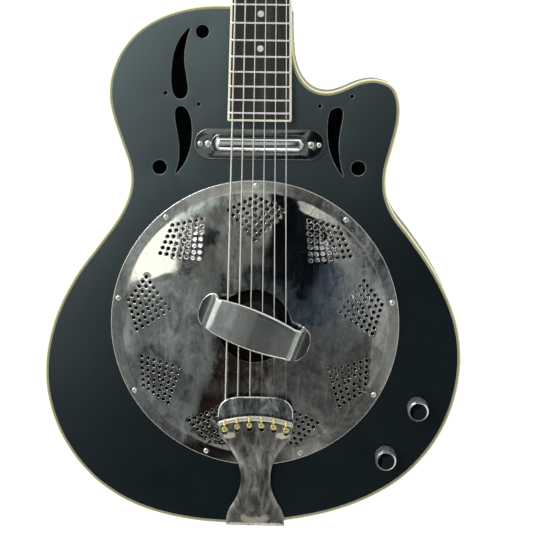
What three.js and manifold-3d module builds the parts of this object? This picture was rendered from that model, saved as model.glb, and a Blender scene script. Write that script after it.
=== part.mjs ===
// Thinline resonator guitar with a single cutaway, modelled in millimetres.
// Frame: the flat back lies on Z = 0, +Z comes out of the face, +Y runs up the neck, +X is the treble side.
// The origin lies under the string line at the saddle.
import * as THREE from 'three';
import { mergeVertices } from 'three/addons/utils/BufferGeometryUtils.js';
import Module from 'manifold-3d';

// ---------------------------------------------------------------- driving dimensions
const SCALE = 648;            // nut to saddle
const BODY_D = 75;            // back face to top face
const TOP_T = 4, BACK_T = 3.5, WALL_T = 2.8;
const BIND_W = 2.0, BIND_H = 6.0, GAP = 0.3;
const LINING_W = 7, LINING_H = 8;
const BODY_Y = 288;           // top edge of the body, at the 14th fret
const NECK_TILT = THREE.MathUtils.degToRad(2.0);
const BOARD_T = 5.6, BOARD_AT_14 = 6.6;      // fingerboard thickness, and its face above the top at the 14th fret
const BOARD_END = 185.2, NUT_W = 42.8, END_W = 57.6;
const NUT_L = 5;
const HEAD_TILT = THREE.MathUtils.degToRad(14), HEAD_T = 15, HEAD_L = 182;
const PLATE_X = -2.6;         // the coverplate, cone and well sit a little to the bass side of the string line
const PLATE_R = 131.8, PLATE_HOLE_R = 33.6;
const WELL_OPEN_R = 122.5;
const CONE_R = 119.5, CONE_TOP_R = 24, CONE_RIM_Z = BODY_D - 25, CONE_TOP_Z = BODY_D + 1.4;
const SADDLE_STRING_Z = BODY_D + 22;
const STRING_SPREAD_NUT = 36, STRING_SPREAD_SADDLE = 53, STRING_SPREAD_TAIL = 56;
const STRING_D = [1.35, 1.07, 0.81, 0.61, 0.43, 0.33];
const PICKUP_Y = 164.4, PICKUP_BASE_L = 117.6, PICKUP_BASE_W = 27.4, PICKUP_TUBE_L = 80, PICKUP_TUBE_R = 6.6;
const KNOBS = { volume: [147.4, -73.8], tone: [119.2, -120.0] };
const KNOB_R = 9.5, KNOB_H = 24;
const REST_ANGLE = THREE.MathUtils.degToRad(-20.7), REST_C = [-2.5, -0.9];
const TUNER_S = [45, 85, 125], TUNER_X = 22, WORM_OFFSET = 8.2;
const JACK = [185.6, -38], TAIL_Y = -188.4;

const OUTLINE = [[-27.5, 288.0], [-44.7, 287.8], [-61.6, 285.9], [-77.2, 282.1], [-91.1, 276.8], [-103.1, 270.1], [-113.5, 261.8],
  [-122.0, 252.1], [-128.9, 240.8], [-135.4, 222.0], [-136.5, 203.2], [-133.0, 186.0], [-125.6, 164.2], [-118.5, 143.1], [-117.1, 130.7],
  [-118.4, 119.6], [-122.4, 107.8], [-129.3, 94.8], [-146.2, 71.4], [-164.3, 47.0], [-173.0, 32.5], [-179.9, 19.1], [-186.9, 1.9],
  [-191.8, -15.4], [-194.8, -32.5], [-195.7, -48.7], [-194.9, -63.1], [-192.3, -77.7], [-188.1, -92.0], [-182.2, -106.2],
  [-174.7, -119.6], [-166.2, -131.8], [-156.3, -143.1], [-145.4, -153.1], [-122.4, -168.1], [-94.4, -179.1], [-60.6, -186.1],
  [-24.7, -188.5], [16.7, -186.4], [60.8, -178.2], [93.9, -166.8], [121.5, -152.0], [134.3, -142.5], [146.1, -131.6],
  [156.2, -119.9], [165.0, -107.2], [172.5, -93.2], [178.4, -78.5], [182.8, -62.8], [185.4, -47.2], [186.3, -29.1],
  [184.9, -11.5], [181.3, 5.4], [175.4, 22.1], [166.5, 40.4], [154.6, 60.0], [138.4, 82.4], [122.1, 103.7], [116.1, 118.1],
  [114.4, 129.7], [115.0, 142.3], [119.4, 160.2], [123.9, 178.3], [125.7, 190.1], [125.4, 202.1], [122.7, 212.1], [119.7, 216.9],
  [115.5, 220.4], [103.8, 223.9], [90.7, 222.6], [69.8, 214.2], [61.4, 212.2], [51.5, 213.2], [42.9, 217.8], [35.3, 227.2],
  [30.2, 241.3], [28.5, 255.2], [27.6, 272], [27.5, 288]];

// crescent soundholes, round holes and small holes in the top
const CRESCENTS = [
  [[-63.6, 267.9], [-71.1, 260.4], [-75.0, 253.0], [-77.8, 245.6], [-79.5, 235.3], [-80.2, 224.0], [-79.7, 214.9], [-77.9, 208.0], [-74.2, 204.4],
    [-69.6, 204.5], [-66.2, 207.6], [-65.2, 212.8], [-66.2, 221.9], [-67.7, 230.9], [-68.6, 239.0], [-68.3, 246.9], [-67.0, 254.8], [-65.0, 262.2]],
  [[-70.7, 197.8], [-75.3, 196.0], [-76.7, 191.4], [-76.3, 184.0], [-74.6, 174.8], [-73.1, 165.6], [-72.6, 156.4], [-73.3, 147.2], [-75.9, 136.6],
    [-70.4, 142.6], [-65.8, 150.7], [-62.6, 161.2], [-61.3, 171.6], [-61.7, 181.9], [-63.5, 189.9], [-66.1, 195.0]],
  [[68.5, 198.0], [63.5, 195.3], [61.5, 187.6], [60.9, 177.6], [61.5, 168.8], [63.5, 158.7], [66.8, 149.9], [71.4, 141.7], [75.6, 136.4],
    [73.9, 143.7], [72.1, 152.5], [71.3, 162.6], [71.8, 172.7], [73.4, 182.8], [74.6, 191.7], [73.9, 196.0], [71.6, 198.1]]];
const ROUND_HOLES = [[-52.4, 264.4, 6.0], [-90.4, 142.3, 6.6], [89.3, 143.9, 6.6]];
const SMALL_HOLES = [[-85.4, 209.3, 1.8], [-55.5, 199.7, 1.8], [82.3, 208.3, 1.8], [53.6, 199.3, 1.8]];

// ---------------------------------------------------------------- helpers
const wasm = await Module();
wasm.setup();
const root = new THREE.Group();

// merges shared vertices and turns every face outwards, whichever way its outline or profile was drawn
function closed(geometry) {
  let g = geometry.clone();
  for (const name of Object.keys(g.attributes)) if (name !== 'position') g.deleteAttribute(name);
  g = mergeVertices(g, 1e-5);
  const ix = Array.from(g.index.array), p = g.attributes.position;
  let volume = 0;
  const [a, b, c] = [new THREE.Vector3(), new THREE.Vector3(), new THREE.Vector3()];
  for (let t = 0; t < ix.length; t += 3) volume += a.fromBufferAttribute(p, ix[t]).dot(b.fromBufferAttribute(p, ix[t + 1]).cross(c.fromBufferAttribute(p, ix[t + 2])));
  if (volume < 0) for (let t = 0; t < ix.length; t += 3) [ix[t], ix[t + 1]] = [ix[t + 1], ix[t]];
  g.setIndex(ix);
  return g;
}
function toSolid(geometry) {
  const g = closed(geometry), idx = g.index.array;
  return new wasm.Manifold(new wasm.Mesh({ numProp: 3, vertProperties: new Float32Array(g.attributes.position.array), triVerts: new Uint32Array(idx) }));
}
function fromSolid(solid) {
  const m = solid.getMesh();
  const g = new THREE.BufferGeometry();
  g.setAttribute('position', new THREE.BufferAttribute(new Float32Array(m.vertProperties), 3));
  g.setIndex(new THREE.BufferAttribute(new Uint32Array(m.triVerts), 1));
  return g;
}
const union = (...list) => fromSolid(list.map(toSolid).reduce((a, b) => a.add(b)));
const cut = (base, ...tools) => fromSolid(tools.map(toSolid).reduce((a, b) => a.subtract(b), toSolid(base)));
const mat = (color, roughness, metalness = 0) => new THREE.MeshStandardMaterial({ color, roughness, metalness });
function add(name, geometry, material, parent = root) {
  const m = new THREE.Mesh(closed(geometry), material);
  m.name = name;
  parent.add(m);
  return m;
}
const move = (g, x, y, z) => g.clone().translate(x, y, z);
// extrudes an outline from z0 to z1
function slab(points, z0, z1, holes = []) {
  const s = new THREE.Shape(points.map(p => new THREE.Vector2(p[0], p[1])));
  for (const h of holes) s.holes.push(new THREE.Path(h.map(p => new THREE.Vector2(p[0], p[1]))));
  return new THREE.ExtrudeGeometry(s, { depth: z1 - z0, bevelEnabled: false }).translate(0, 0, z0);
}
const circle = (x, y, r, n = 24) => [...Array(n).keys()].map(i => [x + r * Math.cos(2 * Math.PI * i / n), y + r * Math.sin(2 * Math.PI * i / n)]);
function stadium(x, y, length, width, n = 8) {
  const r = width / 2, h = length / 2 - r, out = [];
  for (let i = 0; i <= n; i++) { const a = -Math.PI / 2 + Math.PI * i / n; out.push([x + h + r * Math.cos(a), y + r * Math.sin(a)]); }
  for (let i = 0; i <= n; i++) { const a = Math.PI / 2 + Math.PI * i / n; out.push([x - h + r * Math.cos(a), y + r * Math.sin(a)]); }
  return out;
}
// a turned piece about +Z: profile is [radius, z], closed on the axis or on itself
function turned(profile, n = 32) {
  return new THREE.LatheGeometry(profile.map(p => new THREE.Vector2(p[0], p[1])), n).rotateX(Math.PI / 2);
}
function box(x0, x1, y0, y1, z0, z1) {
  return new THREE.BoxGeometry(x1 - x0, y1 - y0, z1 - z0).translate((x0 + x1) / 2, (y0 + y1) / 2, (z0 + z1) / 2);
}
// smooth closed outline thinned to the points that its shape needs
function spline(points, closed, per = 12) {
  const c = new THREE.CatmullRomCurve3(points.map(p => new THREE.Vector3(p[0], p[1], 0)), closed, 'centripetal');
  return c.getPoints(points.length * per).map(v => [v.x, v.y]);
}
function thin(pts, eps) {
  const [a, b] = [pts[0], pts[pts.length - 1]];
  const L = Math.hypot(b[0] - a[0], b[1] - a[1]) || 1e-9;
  let k = -1, best = eps;
  for (let i = 1; i < pts.length - 1; i++) {
    const d = Math.abs((b[0] - a[0]) * (pts[i][1] - a[1]) - (b[1] - a[1]) * (pts[i][0] - a[0])) / L;
    if (d > best) { best = d; k = i; }
  }
  if (k < 0) return [a, b];
  return thin(pts.slice(0, k + 1), eps).slice(0, -1).concat(thin(pts.slice(k), eps));
}
// inward offset of a counter-clockwise outline
function inset(pts, d) {
  const n = pts.length, out = [];
  for (let i = 0; i < n; i++) {
    const p = pts[(i + n - 1) % n], q = pts[i], r = pts[(i + 1) % n];
    const e1 = [q[0] - p[0], q[1] - p[1]], e2 = [r[0] - q[0], r[1] - q[1]];
    const l1 = Math.hypot(...e1), l2 = Math.hypot(...e2);
    const n1 = [-e1[1] / l1, e1[0] / l1], n2 = [-e2[1] / l2, e2[0] / l2];
    const k = 1 + n1[0] * n2[0] + n1[1] * n2[1];
    out.push([q[0] + d * (n1[0] + n2[0]) / k, q[1] + d * (n1[1] + n2[1]) / k]);
  }
  return out;
}
// sweeps a closed section of [inset, z] corners round an outline
function hoop(outline, section) {
  const rings = section.map(([d, z]) => inset(outline, d).map(p => [p[0], p[1], z]));
  const n = outline.length, m = section.length, pos = [], idx = [];
  for (const r of rings) for (const p of r) pos.push(...p);
  for (let j = 0; j < m; j++) for (let i = 0; i < n; i++) {
    const a = j * n + i, b = j * n + (i + 1) % n, c = ((j + 1) % m) * n + i, d = ((j + 1) % m) * n + (i + 1) % n;
    idx.push(a, b, d, a, d, c);
  }
  const g = new THREE.BufferGeometry();
  g.setAttribute('position', new THREE.BufferAttribute(new Float32Array(pos), 3));
  g.setIndex(idx);
  return g;
}
// joins cross-sections, each a ring of the same number of [x, y, z] points, into one closed body
function loft(rings) {
  const m = rings.length, n = rings[0].length, pos = [], idx = [];
  for (const r of rings) for (const p of r) pos.push(...p);
  for (let j = 0; j < m - 1; j++) for (let i = 0; i < n; i++) {
    const a = j * n + i, b = j * n + (i + 1) % n, c = a + n, d = b + n;
    idx.push(a, b, d, a, d, c);
  }
  for (let i = 1; i < n - 1; i++) { idx.push(0, i + 1, i); idx.push((m - 1) * n, (m - 1) * n + i, (m - 1) * n + i + 1); }
  const g = new THREE.BufferGeometry();
  g.setAttribute('position', new THREE.BufferAttribute(new Float32Array(pos), 3));
  g.setIndex(idx);
  return g;
}
// a straight-sided tube or rod along a path of points
function rod(path, r, sides = 8, curve = null, steps = null) {
  const c = curve ?? new THREE.CurvePath();
  if (!curve) for (let i = 0; i < path.length - 1; i++) c.add(new THREE.LineCurve3(new THREE.Vector3(...path[i]), new THREE.Vector3(...path[i + 1])));
  const s = new THREE.Shape(circle(0, 0, r, sides).map(p => new THREE.Vector2(p[0], p[1])));
  return new THREE.ExtrudeGeometry(s, { steps: steps ?? (path.length - 1), extrudePath: c, bevelEnabled: false });
}
// a rod with one ring of points at each path point, held square to the path in a fixed plane
function wire(path, r, sides = 6) {
  const rings = path.map((p, j) => {
    const a = new THREE.Vector3(...path[Math.max(0, j - 1)]), b = new THREE.Vector3(...path[Math.min(path.length - 1, j + 1)]);
    const t = b.sub(a).normalize(), x = new THREE.Vector3(1, 0, 0), u = new THREE.Vector3().crossVectors(t, x).normalize(), v = new THREE.Vector3().crossVectors(u, t).normalize();
    return [...Array(sides).keys()].map(i => {
      const w = -2 * Math.PI * i / sides;
      return [0, 1, 2].map(k => p[k] + r * (Math.cos(w) * v.getComponent(k) + Math.sin(w) * u.getComponent(k)));
    });
  });
  return loft(rings);
}

// ---------------------------------------------------------------- materials
const BLACK = mat(0x23282a, 0.45), CREAM = mat(0xe6e2b4, 0.5), MAPLE = mat(0xc79a63, 0.6), SPRUCE = mat(0xd9bd8b, 0.7);
const EBONY = mat(0x2a2624, 0.55), BONE = mat(0xece6d2, 0.4), NICKEL = mat(0x8f8f8a, 0.3, 1), CHROME = mat(0xc4c7ca, 0.12, 1);
const ALU = mat(0xc9ccce, 0.35, 1), STEEL = mat(0xb9bbbd, 0.3, 1), BRONZE = mat(0xb08a55, 0.35, 1), PLASTIC = mat(0x2b2b2b, 0.6), BUTTON = mat(0xe8e0c4, 0.35);

// ---------------------------------------------------------------- body shell
const dense = spline(OUTLINE, false, 10);
const TOP = BODY_D, TOP_B = TOP - TOP_T;
const outline = thin(dense, 0.5);            // counter-clockwise from the neck's bass side round to its treble side
const zBoardUnder = y => TOP + BOARD_AT_14 - BOARD_T + (288.66 - y) * Math.tan(NECK_TILT);
const zBoard = y => zBoardUnder(y) + BOARD_T;
const boardHalf = y => (END_W + (NUT_W - END_W) * (y - BOARD_END) / (SCALE - BOARD_END)) / 2;

let rim = hoop(outline, [[0, BIND_H + GAP], [0, TOP - BIND_H - GAP], [BIND_W + GAP, TOP - BIND_H - GAP], [BIND_W + GAP, TOP_B - GAP],
  [LINING_W, TOP_B - GAP], [LINING_W, TOP_B - LINING_H], [WALL_T, TOP_B - LINING_H - 5], [WALL_T, BACK_T + LINING_H + 5],
  [LINING_W, BACK_T + LINING_H], [LINING_W, BACK_T + GAP], [BIND_W + GAP, BACK_T + GAP], [BIND_W + GAP, BIND_H + GAP]]);
rim = cut(rim, new THREE.CylinderGeometry(5.3, 5.3, 40, 20).rotateZ(Math.PI / 2).translate(JACK[0], JACK[1], 37),
  new THREE.CylinderGeometry(2.3, 2.3, 16, 12).translate(0, TAIL_Y + 2, 37));
add('rim', rim, BLACK);
add('front_binding', hoop(outline, [[0, TOP - BIND_H], [0, TOP], [BIND_W, TOP], [BIND_W, TOP - BIND_H]]), CREAM);
add('back_binding', hoop(outline, [[0, 0], [0, BIND_H], [BIND_W, BIND_H], [BIND_W, 0]]), CREAM);

const plateEdge = inset(outline, BIND_W + GAP);
const potHole = k => circle(KNOBS[k][0], KNOBS[k][1], 5.4, 16);
add('soundboard', slab(plateEdge, TOP_B, TOP, [
  ...CRESCENTS, ...ROUND_HOLES.map(h => circle(h[0], h[1], h[2], 16)), ...SMALL_HOLES.map(h => circle(h[0], h[1], h[2], 8)),
  circle(PLATE_X, 0, WELL_OPEN_R, 40), stadium(0, PICKUP_Y, 108, 17, 6), potHole('volume'), potHole('tone')]), BLACK);
add('back_plate', slab(plateEdge, 0, BACK_T), BLACK);

add('neck_block', box(-34, 20, 226, 280.4, BACK_T + GAP, TOP_B - GAP), SPRUCE);
add('tail_block', cut(box(-32, 32, -176.2, -158, BACK_T + GAP, TOP_B - GAP), new THREE.CylinderGeometry(2.3, 2.3, 30, 12).translate(0, -178, 37)), SPRUCE);
add('soundwell', turned([[WELL_OPEN_R + 0.5, TOP_B - GAP], [128.5, TOP_B - GAP], [128.5, TOP - 33], [109, TOP - 33], [109, CONE_RIM_Z - GAP - 0.6],
  [WELL_OPEN_R + 0.5, CONE_RIM_Z - GAP - 0.6], [WELL_OPEN_R + 0.5, TOP_B - GAP]], 40).translate(PLATE_X, 0, 0), SPRUCE);

// ---------------------------------------------------------------- cone, biscuit and saddle
add('cone', turned([[0, CONE_TOP_Z], [CONE_TOP_R, CONE_TOP_Z], [CONE_R - 7, CONE_RIM_Z + 1.4], [CONE_R, CONE_RIM_Z + 0.5], [CONE_R, CONE_RIM_Z - 0.6],
  [CONE_R - 7.4, CONE_RIM_Z + 0.2], [CONE_TOP_R, CONE_TOP_Z - 1.2], [0, CONE_TOP_Z - 1.2]], 40).translate(PLATE_X, 0, 0), ALU);
const BIS_Z0 = CONE_TOP_Z + GAP, BIS_Z1 = BIS_Z0 + 9.5;
add('biscuit', cut(turned([[0, BIS_Z0], [21.5, BIS_Z0], [22, BIS_Z0 + 0.8], [22, BIS_Z1 - 0.8], [21.2, BIS_Z1], [0, BIS_Z1]], 28).translate(-1.5, 0, 0),
  box(-60, 60, -1.8, 1.8, BIS_Z1 - 4, BIS_Z1 + 5)), MAPLE);
// the saddle follows a shallow arch, and stands in the biscuit's slot
const saddleTop = x => SADDLE_STRING_Z - 1.0 - 0.0006 * x * x;
const saddleShape = [[-15, BIS_Z1 - 3.6], [15, BIS_Z1 - 3.6], [20, BIS_Z1 + 0.6], [30.5, BIS_Z1 + 2.6], [30.5, saddleTop(30.5)], [20, saddleTop(20)], [10, saddleTop(10)], [0, saddleTop(0)],
  [-10, saddleTop(10)], [-20, saddleTop(20)], [-30.5, saddleTop(30.5)], [-30.5, BIS_Z1 + 2.6], [-20, BIS_Z1 + 0.6]];
add('saddle', slab(saddleShape, -1.4, 1.4).rotateX(Math.PI / 2), MAPLE);

// ---------------------------------------------------------------- coverplate, handrest and their screws
const COVER_TOP = [[PLATE_HOLE_R, 11.0], [55, 10.7], [80, 9.2], [97, 7.3], [111, 4.9], [120.5, 1.6], [PLATE_R, 1.5]];
const coverZ = r => {
  for (let i = 0; i < COVER_TOP.length - 1; i++) {
    const [r0, z0] = COVER_TOP[i], [r1, z1] = COVER_TOP[i + 1];
    if (r <= r1) return TOP + z0 + (z1 - z0) * (Math.max(r, r0) - r0) / (r1 - r0);
  }
  return TOP + 1.5;
};
const under = COVER_TOP.filter((p, i) => i !== 1).map(([r, z]) => [r - (r > 115 && r < 125 ? 0.6 : 0), z - 1.2]).reverse();
const SCREW_R = PLATE_R - 4.8, SCREW_A = [90, 130, 170, 210, 250, 290, 330, 10, 50];
const screwAt = a => [PLATE_X + SCREW_R * Math.cos(a * Math.PI / 180), SCREW_R * Math.sin(a * Math.PI / 180)];
add('cover_plate', cut(turned([...COVER_TOP, ...under, COVER_TOP[0]].map(p => [p[0], p[1] + TOP]), 44).translate(PLATE_X, 0, 0),
  ...SCREW_A.map(a => new THREE.CylinderGeometry(1.9, 1.9, 8, 8).rotateX(Math.PI / 2).translate(...screwAt(a), TOP + 1))), NICKEL);
SCREW_A.forEach((a, i) => {
  const [x, y] = screwAt(a), z = TOP + 1.5 + 0.05;
  // domed head on a shank that goes through the flange, above the soundboard's face
  add(`cover_screw_${i + 1}`, turned([[0, TOP + 0.35], [1.5, TOP + 0.35], [1.5, z + 0.1], [2.9, z + 0.1], [2.3, z + 1.2], [0, z + 1.7]], 8).translate(x, y, 0), STEEL);
});
const REST_Z = TOP + 29.5;
const restProfile = [[-53.6, 11.3], [-51.5, 11.3], [-48.5, 11.3], [-45, 11.3], [-41.5, 26], [-37, 28.6], [-20, 29.4], [0, 29.7], [20, 29.4], [37, 28.6], [41.5, 26], [45, 11.3], [48.5, 11.3], [51.5, 11.3], [53.6, 11.3],
  [53.6, 12.8], [51.5, 12.8], [48.5, 12.8], [46.6, 12.8], [43.4, 26.8], [38, 30.4], [20, 31.4], [0, 31.8], [-20, 31.4], [-38, 30.4], [-43.4, 26.8], [-46.6, 12.8], [-48.5, 12.8], [-51.5, 12.8], [-53.6, 12.8]];
// rounded lobes for feet, and a top that is widest at its middle
const restHalf = (u, z) => {
  const table = z < 14 ? [[45, 17.3], [46.6, 17.0], [48.5, 15.8], [51.5, 11.5], [53.6, 5.5]] : [[0, 18.2], [20, 17.2], [37, 14.9], [38, 14.9], [41.5, 16.0], [43.4, 16.4]];
  const a = Math.abs(u);
  for (let i = 1; i < table.length; i++) {
    const [u0, w0] = table[i - 1], [u1, w1] = table[i];
    if (a <= u1) return w0 + (w1 - w0) * (Math.max(a, u0) - u0) / (u1 - u0);
  }
  return table[table.length - 1][1];
};
const restSlab = slab(restProfile, -1, 1);
const restPos = restSlab.attributes.position;
for (let i = 0; i < restPos.count; i++) restPos.setZ(i, restPos.getZ(i) * restHalf(restPos.getX(i), restPos.getY(i)));
const handrest = restSlab.rotateX(Math.PI / 2).rotateZ(REST_ANGLE).translate(REST_C[0], REST_C[1], TOP);
add('handrest', handrest, NICKEL);

// ---------------------------------------------------------------- pickup
const BASE_Z = TOP + GAP;
const pickHole = [-46.3, 46.3];
add('pickup_base', slab(stadium(0, PICKUP_Y, PICKUP_BASE_L, PICKUP_BASE_W, 10), BASE_Z, BASE_Z + 2,
  [stadium(0, PICKUP_Y, 82, 14.4, 8), ...pickHole.map(x => circle(x, PICKUP_Y, 1.9, 8))]), CHROME);
const TUBE_Z = TOP + 5.2;
const tubeEnd = PICKUP_TUBE_L / 2;
const tube = new THREE.LatheGeometry([[0, -tubeEnd], [3.4, -tubeEnd + 0.4], [5.6, -tubeEnd + 2], [PICKUP_TUBE_R, -tubeEnd + 4.6], [PICKUP_TUBE_R, tubeEnd - 4.6], [5.6, tubeEnd - 2], [3.4, tubeEnd - 0.4], [0, tubeEnd]]
  .map(p => new THREE.Vector2(...p)), 20).rotateZ(-Math.PI / 2).translate(0, PICKUP_Y, TUBE_Z);
add('pickup_tube', cut(union(tube, slab(stadium(0, PICKUP_Y, 102, 12, 5), TOP - 3, TOP - 0.8)), ...pickHole.map(x => new THREE.CylinderGeometry(1.7, 1.7, 8, 8).rotateX(Math.PI / 2).translate(x, PICKUP_Y, TOP - 2))), CHROME);
pickHole.forEach((x, i) => add(`pickup_screw_${i + 1}`, turned([[0, TOP - 4], [1.4, TOP - 4], [1.4, BASE_Z + 2.1], [3, BASE_Z + 2.1], [2.4, BASE_Z + 3.4], [0, BASE_Z + 4]], 8).translate(x, PICKUP_Y, 0), STEEL));

// ---------------------------------------------------------------- tailpiece, end pin, strap button, jack
const stringX = (i, spread) => -spread / 2 + spread * i / 5;
const TAIL_HALF = [[-64.2, 16], [-64.8, 24], [-67, 29.5], [-71.5, 33], [-78, 34.3], [-98, 34.3], [-103.5, 32.6], [-109.8, 27.4], [-119.6, 21.0], [-129.6, 16.2], [-139.2, 14.2],
  [-147.4, 14.1], [-156, 15.7], [-165.5, 19.8], [-173.4, 24.6], [-181, 27.0], [-190.9, 27.0]];
const tailOutline = [...TAIL_HALF.map(([y, x]) => [x, y]).reverse(), ...TAIL_HALF.map(([y, x]) => [-x, y])];
const HOOD_Z0 = TOP + 12.4, HOOD_Z1 = TOP + 21.5, TAIL_LIP = -85;
// height of the tailpiece's upper face along its length: hood, step down behind the string holes, then a long fall to the body's end
const tailTopZ = [[-60, 20.2], [-66, 21.2], [-80, 21.4], [-86, 20.4], [-87.2, 14.6], [-104, 14.0], [-120, 11.6], [-140, 7.0], [-160, 4.2], [-178, 3.0], [-200, 2.8]];
const tailProfile = [...tailTopZ, ...tailTopZ.map(([y, z]) => [y, z - 1.8]).reverse()];
const tailSheet = slab(tailProfile.map(([y, z]) => [y, z + TOP]), -40, 40).applyMatrix4(new THREE.Matrix4().set(0, 0, 1, 0, 1, 0, 0, 0, 0, 1, 0, 0, 0, 0, 0, 1));
let tailBody = toSolid(tailSheet).intersect(toSolid(slab(tailOutline, TOP - 10, TOP + 40)));
// side walls of the hood and its rounded ends, and the wall that the strings hook behind
const hoodOuter = [...TAIL_HALF.slice(0, 6).map(([y, x]) => [x, y]).reverse(), ...TAIL_HALF.slice(0, 6).map(([y, x]) => [-x, y])];
const hoodWall = slab(hoodOuter, HOOD_Z0, TOP + 20);
const hoodInner = slab([[32, -84.8], [32, -60], [-32, -60], [-32, -84.8]], HOOD_Z0 - 1, TOP + 21);
const behind = slab([[32.4, -99], [32.4, -87.4], [-32.4, -87.4], [-32.4, -99]], TOP + 14.4, TOP + 21);
tailBody = tailBody.add(toSolid(hoodWall).subtract(toSolid(hoodInner)).subtract(toSolid(behind)));
for (let i = 0; i < 6; i++) tailBody = tailBody.subtract(toSolid(new THREE.CylinderGeometry(1.5, 1.5, 12, 8).translate(stringX(i, STRING_SPREAD_TAIL), -86, TOP + 16.6)));
// the foot folds down over the end of the body to the end pin
const foot = slab([[-27, TOP + 4.4], [-27, TOP - 12], [-21, TOP - 24], [-12, 30], [-5, 26.5], [5, 26.5], [12, 30], [21, TOP - 24], [27, TOP - 12], [27, TOP + 4.4]].reverse(), 0, 1.8)
  .applyMatrix4(new THREE.Matrix4().set(1, 0, 0, 0, 0, 0, 1, -191, 0, 1, 0, 0, 0, 0, 0, 1));
tailBody = tailBody.add(toSolid(foot)).subtract(toSolid(new THREE.CylinderGeometry(2.4, 2.4, 12, 12).translate(0, -190, 37)));
add('tailpiece', fromSolid(tailBody), NICKEL);

// buttons turned about their own axis: flange, waist and domed cap on a screw
const buttonProfile = [[0, -16], [1.2, -16], [2.0, -13], [2.0, 0], [6.5, 0], [6.2, 1.6], [3.7, 3.4], [3.7, 7.0], [6.9, 10], [6.9, 11], [0, 11.0]];
add('end_pin', turned(buttonProfile, 12).rotateX(Math.PI / 2).translate(0, -191.4, 37), CHROME);
const jackPts = [[3.3, -22], [4.9, -22], [4.9, 0.4], [10.5, 0.4], [10.5, 1.9], [5.9, 2.6], [5.9, 4.4], [3.3, 4.4], [3.3, -22]];
add('output_jack', turned(jackPts, 16).rotateY(Math.PI / 2).translate(186.6, JACK[1], 37), CHROME);

// ---------------------------------------------------------------- volume and tone controls
for (const k of ['volume', 'tone']) {
  const [x, y] = KNOBS[k];
  add(`pot_${k}`, turned([[0, TOP_B - 14], [12, TOP_B - 14], [12, TOP_B - 3], [8, TOP_B - 1.5], [4.9, TOP_B - 1.5], [4.9, TOP + 1.6], [3.4, TOP + 1.6], [3.4, TOP_B - 12], [0, TOP_B - 12]], 14).translate(x, y, 0), STEEL);
  add(`knob_${k}`, turned([[0, TOP_B - 10], [3, TOP_B - 10], [3, TOP + 2.1], [KNOB_R, TOP + 2.1], [KNOB_R, TOP + KNOB_H - 1.4], [KNOB_R - 1.5, TOP + KNOB_H + 1.5], [0, TOP + KNOB_H + 1.5]], 20).translate(x, y, 0), CHROME);
}
// signal lead from the pickup round the well to the volume control, with branches to the tone control and the jack
const lead = pts => rod(pts, 1.5, 6, new THREE.CatmullRomCurve3(pts.map(p => new THREE.Vector3(...p)), false, 'centripetal'), Math.round(pts.length * 1.7));
add('wiring', union(lead([[48, 158, 62], [70, 138, 58], [108, 92, 54], [133, 40, 52], [143, -8, 52], [147, -48, 52], [147.4, -60.4, 60]]),
  lead([[143, -8, 52], [150, -26, 46], [157, -36, 39], [164.2, -38, 37]]), lead([[147, -48, 52], [137, -58, 50], [126, -76, 52], [120, -98, 58], [119.2, -107.6, 61]])), PLASTIC);

// ---------------------------------------------------------------- neck, fingerboard, nut and truss rod
const nY = SCALE, headY = nY + NUT_L + 1;
// cross-section of the neck below the fingerboard: flat on top, rounded below
function neckRing(y, half, depth, square, floor = null) {
  const z = zBoardUnder(y) - GAP, out = [[half, y, z]];
  const n = 12;
  for (let i = 0; i <= n; i++) {
    const t = Math.PI * i / n, c = Math.cos(t), s = Math.sin(t);
    out.push([half * Math.sign(c) * Math.abs(c) ** (2 / square), y, z - 1.2 - (depth - 1.2) * s ** (2 / square)]);
  }
  out.push([-half, y, z]);
  return out;
}
const NECK = [[288.35, 25.2, 66.0, 2.9], [293, 24.6, 65.4, 2.9], [299, 23.4, 63.0, 2.8], [306, 23.2, 55, 2.6], [314, 23.6, 42, 2.4], [322, 24.2, 31, 2.3], [331, 24.7, 24.2, 2.25], [345, 24.9, 20.4, 2.2],
  [400, 24.1, 18.4, 2.2], [500, 22.4, 16.9, 2.2], [600, 20.9, 15.8, 2.2], [632, 20.7, 15.6, 2.3], [643, 20.9, 16.6, 2.4], [655, 21.2, 20.0, 2.6]];
const shaft = loft(NECK.map(([y, h, d, s]) => neckRing(y, y > 340 ? boardHalf(y) - 0.2 : h, d, s)));
// the tongue that carries the fingerboard over the body
const tongue = slab([[BOARD_END + 1.2, TOP + GAP], [BOARD_END + 1.2, zBoardUnder(BOARD_END) - GAP], [290, zBoardUnder(290) - GAP], [290, TOP + GAP]], -24.5, 24.5)
  .applyMatrix4(new THREE.Matrix4().set(0, 0, 1, 0, 1, 0, 0, 0, 0, 1, 0, 0, 0, 0, 0, 1));
const HEAD_HALF = [[0, 21.0], [8, 22.4], [18, 27.5], [28, 33.6], [36, 36.6], [60, 37.2], [100, 36.2], [140, 34.6], [160, 34.8], [170, 33.2], [176, 28], [180, 18], [HEAD_L, 8]];
const headOutline = [...HEAD_HALF.map(([s, x]) => [x, s]), ...[...HEAD_HALF].reverse().map(([s, x]) => [-x, s])];
const HEAD_Z = zBoardUnder(headY) - 1.4;
const headPlace = new THREE.Matrix4().makeTranslation(0, headY, HEAD_Z).multiply(new THREE.Matrix4().makeRotationX(-HEAD_TILT));
const tuners = [];
for (const side of [-1, 1]) TUNER_S.forEach((s, k) => tuners.push({ side, s, x: side * TUNER_X, string: side < 0 ? k : 5 - k }));
tuners.sort((a, b) => a.string - b.string);
const head = slab(headOutline, -HEAD_T, 0, tuners.map(t => circle(t.x, t.s, 4.3, 14))).applyMatrix4(headPlace);
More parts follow.
